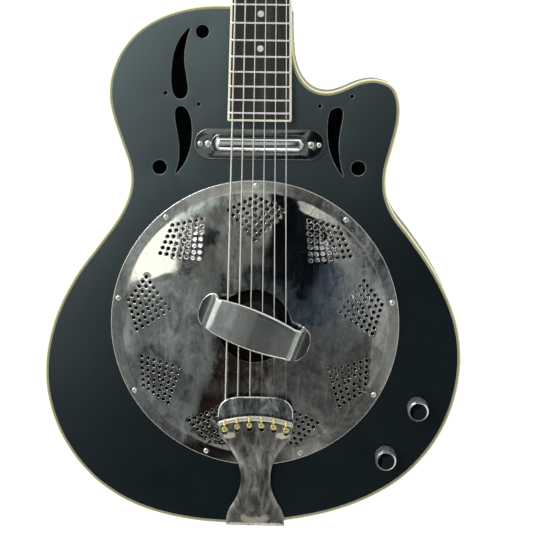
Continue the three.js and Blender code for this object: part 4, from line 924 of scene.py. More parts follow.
# ------------------------------------------------------------------ formed strips: handrest
def strip(stations, curl, thick, across=14):
    """Sweeps a sheet along stations (u, z, half width, curl depth) in a vertical plane; edges curl down. Returns solid in (u, v, z)."""
    n = len(stations)
    rings = []
    for j, (u, z, w, c) in enumerate(stations):
        a, b = stations[max(0, j - 1)], stations[min(n - 1, j + 1)]
        tx, tz = b[0] - a[0], b[1] - a[1]
        l = math.hypot(tx, tz) or 1e-9
        nx, nz = -tz / l, tx / l
        outer, inner = [], []
        for side in (-1, 1):
            seq = []
            flat = max(w - c, w * 0.25)
            rc = w - flat
            for k in range(7):
                f = k / 6
                seq.append((side * flat * f, 0.0))
            for k in range(1, 6):
                t = math.pi / 2 * k / 5
                seq.append((side * (flat + rc * math.sin(t)), -min(rc, c) * (1 - math.cos(t))))
            outer.append(seq)
        line = list(reversed(outer[0])) + outer[1][1:]
        under = []
        for v, h in line:
            s = 1 - min(thick * 0.8 / max(w, 0.5), 0.6)
            under.append((v * s, h - thick if abs(v) < w - c else h * 0.9 - thick * 0.85))
        sec = line + list(reversed(under))
        rings.append([(u + nx * h, v, z + nz * h) for v, h in sec])
    return loft(rings)


def dense(path, per=6):
    return spline(path, False, per)


mid = []
for u, z in fillet([(-53.2, 12.85), (-43.8, 12.85), (-41.6, 27.0), (-37.4, 30.3), (-20, 31.3), (0, 31.75), (20, 31.3), (37.4, 30.3), (41.6, 27.0), (43.8, 12.85), (53.2, 12.85)],
                   [0, 2.6, 0, 0, 0, 0, 0, 0, 0, 2.6, 0], 6):
    mid.append((u, z))
# finer points on the long runs
path = [mid[0]]
for p in mid[1:]:
    q = path[-1]
    d = math.hypot(p[0] - q[0], p[1] - q[1])
    k = max(1, int(d / 1.6))
    path += [(q[0] + (p[0] - q[0]) * i / k, q[1] + (p[1] - q[1]) * i / k) for i in range(1, k + 1)]
# even spacing, then soften the bends of the arch
def even(pts, step):
    L = [0.0]
    for a, b in zip(pts, pts[1:]):
        L.append(L[-1] + math.hypot(b[0] - a[0], b[1] - a[1]))
    n = int(L[-1] / step)
    out, j = [], 0
    for i in range(n + 1):
        d = L[-1] * i / n
        while j < len(L) - 2 and L[j + 1] < d:
            j += 1
        f = (d - L[j]) / max(L[j + 1] - L[j], 1e-9)
        out.append((pts[j][0] + (pts[j + 1][0] - pts[j][0]) * f, pts[j][1] + (pts[j + 1][1] - pts[j][1]) * f))
    return out


path = even(path, 0.8)
for _ in range(7):
    path = [path[0]] + [((a[0] + 2 * b[0] + c[0]) / 4, (a[1] + 2 * b[1] + c[1]) / 4) for a, b, c in zip(path, path[1:], path[2:])] + [path[-1]]


def rest_width(u, z):
    if z < 14.5 and abs(u) > 41.2:
        t = (abs(u) - 41.2) / 12.0
        return 17.2 * math.sqrt(max(0.0004, 1 - min(t, 0.9999) ** 2))
    if abs(u) > 37:
        t = min(1, max(0, (z - 14.5) / 12))
        return 17.0 + (14.9 - 17.0) * t**0.5
    return 14.9 + 3.3 * (1 - (u / 37.0) ** 2) - 0.02 * u


stations = []
for u, z in path:
    foot = 1 if (z < 14.5 and abs(u) > 41.2) else 0
    stations.append((u, z, rest_width(u, z), 0.9 if foot else 2.1))
# blend widths where foot meets leg
for _ in range(14):
    stations = [stations[0]] + [(b[0], b[1], (a[2] + 2 * b[2] + c[2]) / 4 if abs(b[0]) < 48 else b[2], (a[3] + 2 * b[3] + c[3]) / 4) for a, b, c in zip(stations, stations[1:], stations[2:])] + [stations[-1]]
REST_A = math.radians(-20.7)
ca, sa = math.cos(REST_A), math.sin(REST_A)
rest0 = strip(stations, 2.0, 1.4)
# faces of the feet take the dark foot material, a painted dark reflection; the feet's rims and the arch's upper edges
# take the painted edge highlight
rest_m = []
for f in rest0[1]:
    u_, v_, z_ = (sum(rest0[0][i][k] for i in f) / len(f) for k in range(3))
    if abs(u_) > 43.6 and z_ < 15:
        w_ = rest_width(u_, 12.85)
        rest_m.append(2 if (w_ - abs(v_) < 1.1 or abs(u_) > 52.3) else 1)
    else:
        rest_m.append(2 if (len(f) == 4 and abs(v_) > rest_width(u_, z_) - 1.15 and z_ > 16) else 0)
rest = moved(rest0, lambda v: (-2.5 + v[0] * ca - v[1] * sa, -0.9 + v[0] * sa + v[1] * ca, v[2] + TOP))
make("arched_handrest", (rest[0], rest[1], rest_m), [RESTM, FOOTM, PAINTED_HIGHLIGHT], replaces=("handrest",), angle=48)

# ------------------------------------------------------------------ pickup
base = plate(stadium(0, PICK_Y, 117.6, 27.4, 24), [stadium(0, PICK_Y, 82, 14.4, 16)] + [circle(x, PICK_Y, 1.7, 16) for x in (-46.3, 46.3)], lambda x, y: TOP + 2.3, lambda x, y: TOP + 0.3, 0.5, 0.3, steps=4, hole_mat=0)
lip_line = stadium(0, PICK_Y, 86.4, 17.0, 20)
lip = hoop([[(x, y, TOP + 2.2 + 0.55 * math.sin(math.pi * k / 8)) for x, y in inset(lip_line, -0.55 * math.cos(math.pi * k / 8))] for k in range(9)])
make("pickup_base_plate", joined(base, lip), PICKB, replaces=("pickup_base",))
R_T, half = 6.6, 40.0
prof = [(0, -half)] + [(R_T * math.sin(a) ** 0.8, -half + 4.9 * (1 - math.cos(a))) for a in [math.pi / 2 * k / 12 for k in range(1, 13)]]
prof += [(R_T, -half + 4.9 + (2 * half - 9.8) * k / 8) for k in range(1, 8)]
prof += [(r, -z) for r, z in reversed(prof[:13])]
tubeg = moved(lathe(prof, 64), lambda v: (v[2], v[1] + PICK_Y, v[0] + TOP + 5.2))
tab = plate(stadium(0, PICK_Y, 102, 12), [circle(x, PICK_Y, 1.7, 12) for x in (-46.3, 46.3)], lambda x, y: TOP - 0.8, lambda x, y: TOP - 3, 0.2, hole_mat=0)
make("pickup_tube_shell", joined(tubeg, tab), TUBEM, replaces=("pickup_tube",), angle=40)
for i, x in enumerate((-46.3, 46.3)):
    g = joined(at(turned_about(screw_head(3.0, 1.9), 12 + 60 * i), x, PICK_Y, TOP + 2.4), at(lathe([(0, 0), (1.35, 0), (1.35, 5.9), (0, 5.9)], 16), x, PICK_Y, TOP - 3.4))
    make(f"pickup_height_screw_{i + 1}", g, STEEL, replaces=(f"pickup_screw_{i + 1}",))
    x2 = 53.6 if x > 0 else -53.6
    make(f"pickup_fixing_screw_{i + 1}", at(turned_about(screw_head(2.2, 1.2, 0.26), 33 * i), x2, PICK_Y, TOP + 2.3), STEEL)

# ------------------------------------------------------------------ tailpiece
TAIL_HALF = [(-63.6, 0.0), (-63.8, 10), (-64.4, 19), (-66.2, 25.8), (-69.6, 30.6), (-74.6, 33.6), (-81, 34.3), (-92, 34.3), (-98, 34.2), (-103.5, 32.4), (-109.8, 27.4), (-119.6, 21.0), (-129.6, 16.2), (-139.2, 14.2),
             (-147.4, 14.1), (-156, 15.7), (-165.5, 19.8), (-173.4, 24.4), (-181, 26.8), (-190.6, 27.0)]
half_pts = spline([(y, x) for y, x in TAIL_HALF], False, 5)
HALF_W = sorted((y, x) for y, x in half_pts if y < -66)


def tail_hw(y):
    return interp(HALF_W, y) if y > HALF_W[0][0] else HALF_W[0][1]


ridge_y = lambda x: -83.6 - 6.0 * (x / 34.0) ** 2
ball_y = lambda x: -91.2 - 4.2 * (x / 28.0) ** 2
LOW = [(-200, 2.2), (-191, 2.2), (-186, 3.4), (-178, 3.7), (-160, 4.7), (-140, 7.2), (-120, 11.4), (-104, 13.8), (-87, 14.8), (-60, 14.9)]


def tail_z(x, y):
    w = max(tail_hw(min(y, -67)), 1)
    d = w - abs(x)
    low = interp(LOW, y)
    low -= 1.7 * max(0.0, 1 - d / 5.0) ** 2 * (1 if y > -186 else 0.3)
    t = max(0.0, min(1.0, (-100 - y) / 14)) * max(0.0, min(1.0, (y + 184) / 10))
    low += t * (0.9 * math.exp(-((x / 5.5) ** 2)) * max(0.0, min(1.0, (y + 160) / 12)) + 0.5 * math.exp(-(((abs(x) - w * 0.62) / 2.6) ** 2)))
    tri = min((-150 - y) / 1.6, (y + 173) / 1.6, ((-150 - y) * 0.36 - abs(x)) / 0.9)
    low -= 0.7 * max(0.0, min(1.0, tri))
    if y < -186.5:
        q = min(1.0, (-186.5 - y) / 4.2)
        low -= 4.2 * (1 - math.sqrt(max(0.0, 1 - q * q)))
    ry = ridge_y(x)
    k = (y - ry)
    high = 20.4 + 0.9 * math.exp(-(((y + 76) / 9.0) ** 2)) - 0.0006 * x * x
    high += 1.5 * math.sqrt(max(0.0, 1 - (k / 2.3) ** 2)) if abs(k) < 2.3 else 0.0
    s = max(0.0, min(1.0, (k + 3.3) / 1.0))
    return TOP + low * (1 - s) + high * s


outer = [(x, y) for y, x in half_pts if x > 0.01 or y == half_pts[0][0]]
outer = [(x, y) for x, y in reversed(outer)] + [(-x, y) for x, y in outer[1:]]
pegs = [(sx(i, 56), ball_y(sx(i, 56)) - 3.4, 2.3) for i in range(6)]
extra = []
y = -66.0
while y > -190.3:
    step = 1.5 if y > -110 or y < -184 else 2.4
    w = tail_hw(min(y, -67)) - 1.8
    n = max(8, int(2 * w / (1.9 if y > -110 else 2.2)))
    for k in range(n + 1):
        x = -w + 2 * w * k / n
        if y > -70 and math.hypot(max(0, abs(x) - 22), max(0, y + 74)) > 8.5:
            continue
        if all((x - a) ** 2 + (y - b) ** 2 > (r + 0.8) ** 2 for a, b, r in pegs) and abs(y - ridge_y(x)) > 4.2:
            extra.append((x, y))
    y -= step
for off in (-3.9, -3.35, -2.8, -2.3, -2.0, -1.5, -0.8, 0, 0.8, 1.5, 2.0, 2.35, 3.3):
    for k in range(49):
        x = -32.6 + 65.2 * k / 48
        yy = ridge_y(x) + off
        if all((x - a) ** 2 + (yy - b) ** 2 > (r + 0.45) ** 2 for a, b, r in pegs):
            extra.append((x, yy))
sheet = plate(outer, [circle(a, b, r, 20) for a, b, r in pegs], tail_z, lambda x, y: tail_z(x, y) - 1.5, 1.0, 0.35, extra, 4, 0)
# faces on the ridge take the worn bright ridge finish, the hood's front and side edges the painted edge highlight
fm = list(sheet[2])
for i, f in enumerate(sheet[1]):
    c = [sum(sheet[0][v][k] for v in f) / len(f) for k in range(3)]
    if abs(c[1] - ridge_y(c[0])) < 2.25 and c[2] > TOP + 19.6:
        fm[i] = 1
    elif c[1] > -84 and c[2] > TOP + 18.9 and (tail_hw(min(c[1], -67)) - abs(c[0]) < 1.05 or c[1] > -64.7):
        fm[i] = 2
# skirt round the hood, down to just above the coverplate
front = [(x, y) for x, y in outer if y > -99]
front.sort(key=lambda p: math.atan2(p[0], p[1] + 90))
inner_f = [(x * (1 - 1.5 / max(abs(x), 8)) if abs(x) > 8 else x * 0.9, y - 1.5 * max(0.0, min(1.0, (y + 74) / 6))) for x, y in front]
skirt = []
for (x, y), (xi, yi) in zip(front, inner_f):
    zt = max(tail_z(x * 0.94, min(y, -66.5)) - 0.9, TOP + 13.4)
    zt -= (zt - TOP - 16.8) * max(0.0, min(1.0, (31.0 - abs(x)) / 1.2)) * max(0.0, min(1.0, (y + 72.5) / 1.5))
    back = max(0.0, min(1.0, (y + 80) / 8))
    x, y, xi, yi = x * (1 - 0.10 * back), y - 5.0 * back, xi * (1 - 0.10 * back), yi - 5.0 * back
    zb_ = TOP + 12.3 + 3.2 * back
    skirt.append([(x, y, zb_), (x, y, zt), (xi, yi, zt), (xi, yi, zb_)])
foot_pts = [(-26.6, 72.6), (-26.6, 63), (-21, 51), (-12, 30), (-5, 26.5), (5, 26.5), (12, 30), (21, 51), (26.6, 63), (26.6, 72.6)]
foot = plate(fillet(foot_pts, [0, 5, 8, 5, 3, 3, 5, 8, 5, 0], 5, True), [circle(0, 37, 2.4, 24)], lambda x, y: 1.8, lambda x, y: 0, 0.5, hole_mat=0)
foot = moved(foot, lambda v: (v[0], -189.1 - v[2], v[1]))
make("formed_tailpiece", joined((sheet[0], sheet[1], fm), loft(skirt), foot), [TAILM, BRIGHT, PAINTED_HIGHLIGHT], replaces=("tailpiece",), angle=44)

# ------------------------------------------------------------------ strings with ball ends
head_y = SCALE + 6
under_z = lambda y: TOP + 6.6 - BOARD_T + (288.66 - y) * math.tan(TILT)
top_z = lambda y, x=0.0: under_z(y) + BOARD_T - (305 - math.sqrt(305**2 - x * x))
half_w = lambda y: (END_W + (NUT_W - END_W) * (y - BOARD_END) / (SCALE - BOARD_END)) / 2
string_z = lambda y: SADDLE_Z + (top_z(SCALE) + 1.1 - SADDLE_Z) * y / SCALE
HEAD_Z = under_z(head_y) - 1.4
hc, hs = math.cos(HEAD_TILT), math.sin(HEAD_TILT)
head = lambda x, s, h: (x, head_y + hc * s + hs * h, HEAD_Z - hs * s + hc * h)
in_head = lambda geo: moved(geo, lambda v: head(*v))
TUNERS = []
for side in (-1, 1):
    for k, s in enumerate(TUNER_S):
        TUNERS.append({"side": side, "s": s, "x": side * TUNER_X, "string": k if side < 0 else 5 - k})
TUNERS.sort(key=lambda t: t["string"])
for i, t in enumerate(TUNERS):
    r = STRING_D[i] / 2
    xn, xs, xt = sx(i, 36), sx(i, 53), sx(i, 56)
    zt, yb = TOP + 17.3, ball_y(xt)
    nut_p = (xn, SCALE + 2.5, string_z(SCALE + 2.5) + r - 0.2)
    end = head(t["x"] - t["side"] * (3 + r + 0.1 if i < 3 else 3.9), t["s"], 6.3)
    vis = max(r, 0.34)
    path = [(xt, ridge_y(xt) - 0.6, TOP + 21.2), (xt, ridge_y(xt) + 1.4, TOP + 20.4), (xt, ridge_y(xt) + 4.2, TOP + 18.2), (xt + (xs - xt) * 0.12, -76, TOP + 17.3), (xt + (xs - xt) * 0.22, -66, TOP + 17.8), (xt + (xs - xt) * 0.3, -58, TOP + 18.3), (xt + (xs - xt) * 0.5, -40, TOP + 19.6), (xs, -3, SADDLE_Z + r - 0.55), (xs, 0, SADDLE_Z + r - 0.35), (xs + (xn - xs) * 0.01, 6, SADDLE_Z + r - 0.5)]
    path += [(xs + (xn - xs) * f, SCALE * f, SADDLE_Z + r - 0.35 + (nut_p[2] - SADDLE_Z - r + 0.35) * f) for f in (0.25, 0.5, 0.75, 0.97)]
    path += [nut_p, tuple((Vector(nut_p) * 0.97 + Vector(end) * 0.03)), end]
    ball = moved(lathe(fillet([(0.8, -1.9), (2.5, -1.9), (2.5, -0.9), (2.1, -0.4), (2.1, 0.4), (2.5, 0.9), (2.5, 1.9), (0.8, 1.9)], [0.3, 0.45, 0.2, 0.2, 0.2, 0.2, 0.45, 0.3], 3, True), 32), lambda v: v)
    tx, ty = rnd.uniform(-0.30, 0.30), rnd.uniform(0.10, 0.45)
    ball = at(moved(ball, lambda v: (v[0] + v[2] * math.sin(tx), v[1] * math.cos(ty) + v[2] * math.sin(ty), v[2] * math.cos(ty) - v[1] * math.sin(ty))), xt, yb + 0.4, TOP + 17.2)
    coil, turns, ry = [], 5, ridge_y(xt)
    for k in range(turns * 12 + 1):
        a = 2 * math.pi * k / 12
        f = k / (turns * 12)
        yy = ry - 2.3 + 4.4 * f
        zz = TOP + 22.2 + 0.75 * math.sqrt(max(0.0, 1 - (2 * f - 1) ** 2 * 0.9))
        coil.append((xt + 0.72 * math.cos(a), yy, zz + 0.55 * math.sin(a)))
    wrap = tube(coil, 0.42, 7)
    core = tube([(xt, yb + 0.6, TOP + 15.6), (xt, ry - 2.6, TOP + 19.4), (xt, ry - 2.0, TOP + 22.0), (xt, ry, TOP + 22.7), (xt, ry + 1.6, TOP + 22.3)], 0.6, 8)
    g = joined(tinted(tube(path, vis, 12), 0), tinted(ball, 1), tinted(wrap, 1), tinted(core, 1))
    make(f"strung_string_{6 - i}", g, [WOUND[i] if i < 3 else PLAIN, BRASS], replaces=(f"string_{6 - i}",), angle=50)

# ------------------------------------------------------------------ end pin, strap button, jack
pin = fillet([(0, -16), (1.2, -16), (2.0, -13), (2.0, 0), (6.5, 0), (6.2, 1.0), (3.7, 2.0), (3.7, 4.2), (6.6, 6.2), (6.6, 7.0), (0, 7.0)], [0, 0, 0, 0.3, 0.4, 0.5, 0.9, 1.1, 0.5, 0.5, 0], 4)
make("turned_end_pin", at(moved(lathe(pin, 48), lambda v: (v[0], -v[2], v[1])), 0, -191.4, 37), CHROME, replaces=("end_pin",))
sb = fillet([(0, 0), (6.5, 0), (6.2, 1.6), (3.7, 3.4), (3.7, 7.0), (6.9, 10), (6.9, 11), (0, 11.0)], [0, 0.4, 0.8, 1.6, 2, 0.8, 0.7, 0], 4)
make("turned_strap_button", at(moved(lathe(sb, 48), lambda v: (-v[2], v[1], v[0])), -24.1, 300, 46), CHROME, replaces=("strap_button",))
jk = lathe(fillet([(3.3, -22), (4.9, -22), (4.9, -0.1), (10.5, -0.1), (10.5, 0.7), (4.9, 0.9), (4.9, 2.5), (3.3, 2.5)], [0, 0.2, 0, 0.2, 0.6, 0, 0.3, 0.3], 3, True), 48)
hexo = [(6.7 * math.cos(math.pi / 3 * k), 6.7 * math.sin(math.pi / 3 * k)) for k in range(6)]
nut6 = plate(fillet(hexo, 0.6, 3, True), [circle(0, 0, 4.92, 32)], lambda x, y: 2.1 - max(0, math.hypot(x, y) - 5.9) * 0.45, lambda x, y: 0.75, 0.2, hole_mat=0)
make("jack_socket", at(moved(joined(jk, nut6), lambda v: (v[2], v[1], -v[0])), 186.6, -38, 37), CHROME, replaces=("output_jack",))

# ------------------------------------------------------------------ controls
for k, (x, y) in KNOBS.items():
    lower = lathe([(0, -14), (3, -14), (3, 2.2), (0, 2.2)], 32)
    nt, nz, knurl, g = 54, 34, [], None
    for j in range(nz + 1):
        z = 3.0 + (20.6 - 3.0) * j / nz
        e = min(1.0, j / 2, (nz - j) / 2)
        row = []
        for i in range(nt * 4):
            a = 2 * math.pi * i / (nt * 4)
            tri = lambda u: abs((u % 1.0) * 2 - 1)
            d = 0.30 * e * min(tri(a * nt / (2 * math.pi) + z / 1.5), tri(a * nt / (2 * math.pi) - z / 1.5))
            r = 9.55 - 0.55 * (z - 3) / 17.6 + d - 0.1
            row.append((r * math.cos(a), r * math.sin(a), z))
        knurl.append(row)
    flatring = lambda r, z: [(r * math.cos(2 * math.pi * i / (nt * 4)), r * math.sin(2 * math.pi * i / (nt * 4)), z) for i in range(nt * 4)]
    rings = [flatring(2.9, 2.1), flatring(8.9, 2.1), flatring(9.35, 2.4)] + knurl + [flatring(9.15, 20.9), flatring(9.4, 21.3), flatring(9.42, 21.9), flatring(9.2, 22.5), flatring(8.35, 24.1), flatring(8.12, 24.55), flatring(7.95, 24.75), flatring(7.8, 24.8)]
    rings += [flatring(r, 24.62 + 0.55 * (1 - (r / 7.6) ** 2)) for r in (7.6, 7.0, 6.2, 5.2, 4.0, 2.8, 1.5, 0.4)]
    g = loft(rings)
    fm = [1 if all(g[0][v][2] > 24.6 and math.hypot(g[0][v][0], g[0][v][1]) < 7.85 for v in f) else 0 for f in g[1]]
    body_g = joined(at(lower, x, y, TOP), (at(g, x, y, TOP)[0], g[1], fm))
    make(f"turned_knob_{k}", body_g, [KNOBM, KNOBTOP], body=f"{k}_knob", replaces=(f"knob_{k}",), angle=24)
    make(f"knob_grub_screw_{k}", at(moved(lathe([(0, -1.2), (1.3, -1.2), (1.3, 0.2), (0.55, 0.2), (0.55, -0.6), (0, -0.6)], 24), lambda v: (v[0], -v[2], v[1])), x, y - 9.3, TOP + 8), STEEL, body=f"{k}_knob")
    make(f"control_bushing_{k}", at(lathe(fillet([(3.45, 0), (7.4, 0), (7.4, 0.5), (5.9, 0.6), (5.9, 1.6), (3.45, 1.6)], [0, 0, 0.2, 0, 0.3, 0], 3, True), 48), x, y, TOP), STEEL)

# ------------------------------------------------------------------ neck and headstock
NECK = [(288.35, 25.2, 66.0, 2.9), (293, 24.6, 65.4, 2.9), (299, 23.4, 63.0, 2.8), (306, 23.2, 55, 2.6), (314, 23.6, 42, 2.4), (322, 24.2, 31, 2.3), (331, 24.7, 24.2, 2.25), (345, 24.9, 20.4, 2.2),
        (400, 24.1, 18.4, 2.2), (500, 22.4, 16.9, 2.2), (600, 20.9, 15.8, 2.2), (632, 20.7, 15.6, 2.3), (643, 20.9, 16.6, 2.4), (655, 21.2, 20.0, 2.6)]
rings = []
ys = [288.35 + 1.4 * k for k in range(44)] + [352 + 12 * k for k in range(24)] + [634, 638, 641, 644, 647, 650, 653, 655, 657]
col = lambda k: [(r[0], r[k]) for r in NECK]
for y in ys:
    yy = min(y, 655)
    h = interp(col(1), yy) if y < 338 else half_w(min(y, 652)) - 0.15
    if 338 <= y < 352:
        f = (y - 338) / 14
        h = interp(col(1), yy) * (1 - f) + (half_w(y) - 0.15) * f
    d, sq = interp(col(2), yy), interp(col(3), yy)
    z = under_z(y) - 0.05
    rg = [(h, y, z)]
    for i in range(33):
        a = math.pi * i / 32
        c, s = math.cos(a), math.sin(a)
        rg.append((h * math.copysign(abs(c) ** (2 / sq), c), y, z - 1.2 - (d - 1.2) * s ** (2 / sq)))
    rg.append((-h, y, z))
    rings.append(rg)
shaft = loft(rings)
tongue = loft([[(24.5, y, TOP + 0.05), (24.5, y, under_z(y) - 0.02), (-24.5, y, under_z(y) - 0.02), (-24.5, y, TOP + 0.05)] for y in (BOARD_END + 1.2, 230, 289)])
HEAD_HALF = [(0, 21.0), (8, 22.4), (18, 27.5), (28, 33.6), (36, 36.6), (60, 37.2), (100, 36.2), (140, 34.6), (160, 34.8), (170, 33.2), (176, 28), (180, 18), (HEAD_L, 8)]
hh = spline(HEAD_HALF, False, 5)
head_out = [(x, s) for s, x in hh] + [(-x, s) for s, x in reversed(hh)]
headg = plate(head_out, [circle(t["x"], t["s"], 4.3, 28) for t in TUNERS], lambda x, y: 0.0, lambda x, y: -HEAD_T, 1.1, 0.3, steps=5, hole_mat=0)
make("carved_neck", joined(shaft, tongue, in_head(headg)), NECKM, replaces=("neck",), angle=38)
# cover over the truss rod's end, with its two screws
cov = spline([(0, 31), (6.5, 25), (8.6, 15), (9.4, 6), (7, 3.4), (0, 3.0), (-7, 3.4), (-9.4, 6), (-8.6, 15), (-6.5, 25)], True, 6)
make("truss_rod_cover", in_head(joined(tinted(plate(cov, [], lambda x, y: 1.7, lambda x, y: 0.05, 0.35), 0), tinted(plate(inset(ccw(cov), -0.9), [], lambda x, y: 0.9, lambda x, y: 0.02, 0.1), 1))), [PLASTIC, CREAM_B])
make("truss_cover_screws", in_head(joined(at(screw_head(1.7, 0.9, 0.2), 0, 27, 1.65), at(screw_head(1.7, 0.9, 0.2), 0, 6.5, 1.65))), STEEL)

# fingerboard, its binding, frets and dots
N = 24
rows = []
for y in (BOARD_END + BOARD_IN - 0.05, 260, 360, 460, 560, SCALE + 0.3):
    h = half_w(y) - BOARD_IN + 0.03
    rows.append([(h, y, under_z(y))] + [(h - 2 * h * k / N, y, top_z(y, h - 2 * h * k / N)) for k in range(N + 1)] + [(-h, y, under_z(y))])
make("cambered_fingerboard", loft(rows), BOARD, replaces=("fingerboard",))
bo = [(-half_w(BOARD_END), BOARD_END), (half_w(BOARD_END), BOARD_END), (half_w(SCALE + 0.3), SCALE + 0.3), (-half_w(SCALE + 0.3), SCALE + 0.3)]
bo = fillet(bo, [1.4, 1.4, 0, 0], 4, True)
fine = []
for a, b in zip(bo, bo[1:] + bo[:1]):
    k = max(1, int(math.hypot(b[0] - a[0], b[1] - a[1]) / 6))
    fine += [(a[0] + (b[0] - a[0]) * i / k, a[1] + (b[1] - a[1]) * i / k) for i in range(k)]
sec = [(0.0, None), (0.0, 0.55), (0.16, 0.2), (0.55, 0.0), (BOARD_IN - 0.02, 0.0), (BOARD_IN - 0.02, None)]
br = []
for d, dz in sec:
    br.append([(x, y, under_z(y) if dz is None else top_z(y, x) - dz) for x, y in inset(fine, d)])
make("board_binding_strip", hoop(br), CREAM_B, replaces=("fingerboard_binding",))
frets = []
for n in range(1, 22):
    y = SCALE * 2 ** (-n / 12)
    h = half_w(y) - 0.45
    st = []
    for k in range(25):
        x = -h + 2 * h * k / 24
        e = min(1.0, (h - abs(x)) / 1.1 + 0.25)
        st.append([(x, y + 0.82 * math.cos(a), top_z(y, x) - 0.15 + 1.15 * e * math.sin(a) ** 0.8) for a in [math.pi * j / 8 for j in range(9)]])
    frets.append(loft(st))
make("fret_wires", joined(*frets), FRETM, angle=50)
dots = []
for n in (3, 5, 7, 9, 12, 15, 17):
    y = (SCALE * 2 ** (-n / 12) + SCALE * 2 ** (-(n - 1) / 12)) / 2
    for x in ((-8.2, 8.2) if n == 12 else (0,)):
        dots.append(plate(circle(x, y, 2.9, 32), [], lambda a, b: top_z(b, a) + 0.04, lambda a, b: top_z(b, a) - 0.8, 0.04))
make("pearl_dots", joined(*dots), PEARL)
# nut with string slots
zl, zh = under_z(SCALE + 5) + 0.05, string_z(SCALE + 5) - 1.1
zs = lambda x, i: string_z(SCALE + 3) - 0.25
edge = []
for k in range(121):
    x = NUT_W / 2 - NUT_W * k / 120
    z = string_z(SCALE + 3) + 0.35 - 0.0012 * x * x - 0.5 * max(0, abs(x) - 20.4)
    for i in range(6):
        d, r = abs(x - sx(i, 36)), STRING_D[i] / 2 + 0.25
        if d < r:
            z = min(z, string_z(SCALE + 3) + STRING_D[i] / 2 - 0.2 - math.sqrt(max(0, r * r - d * d)) * 0.8)
    edge.append((x, z))
nutg = plate([(-NUT_W / 2 - 0.06, zl), (NUT_W / 2 + 0.06, zl)] + edge, [], lambda x, y: 5.0, lambda x, y: 0.4, 0.25)
make("slotted_nut", moved(nutg, lambda v: (v[0], SCALE + v[2], v[1])), BONE, replaces=("nut",))

# ------------------------------------------------------------------ tuning machines
PZ = -HEAD_T - 0.3
WZ = PZ - 3.7
GZ = WZ + 1.5
for side in (-1, 1):
    name = "bass" if side < 0 else "treble"
    px = side * 23.5
    lst = [t for t in TUNERS if t["side"] == side]
    o = fillet([(px - 10, 36), (px + 10, 36), (px + 10, 142), (px - 10, 142)], 4, 6, True)
    g = [plate(o, [circle(t["x"], t["s"], 3.4, 24) for t in lst], lambda x, y: PZ, lambda x, y: PZ - 0.75, 0.2, hole_mat=0)]
    for t in lst:
        yc = t["s"] + WORM_OFF
        for e in (px - 9.6, px + 8.2):
            ear = fillet([(yc - 4.0, PZ - 0.5), (yc - 3.4, WZ - 1.4), (yc - 1.6, WZ - 3.1), (yc + 1.6, WZ - 3.1), (yc + 3.4, WZ - 1.4), (yc + 4.0, PZ - 0.5)], [0, 1, 1, 1, 1, 0], 3, True)
            q = plate(ear, [circle(yc, WZ, 1.65, 20)], lambda x, y: 1.4, lambda x, y: 0.0, 0.25, hole_mat=0)
            g.append(moved(q, lambda v, e=e: (e + v[2], v[0], v[1])))
    make(f"tuner_base_{name}", in_head(joined(*g)), TUNERM, replaces=(f"tuner_plate_{name}",))
    sc = []
    for s in (39.3, 65, 105, 138):
        q = screw_head(2.1, 1.1, 0.24)
        sc.append(moved(at(turned_about(q, 31 * s), px + (-5.6 if side > 0 else 5.6) * (1 if s in (65, 105) else 0), s, 0), lambda v: (v[0], v[1], PZ - 0.75 - v[2])))
    make(f"tuner_base_screws_{name}", in_head(joined(*sc)), STEEL)
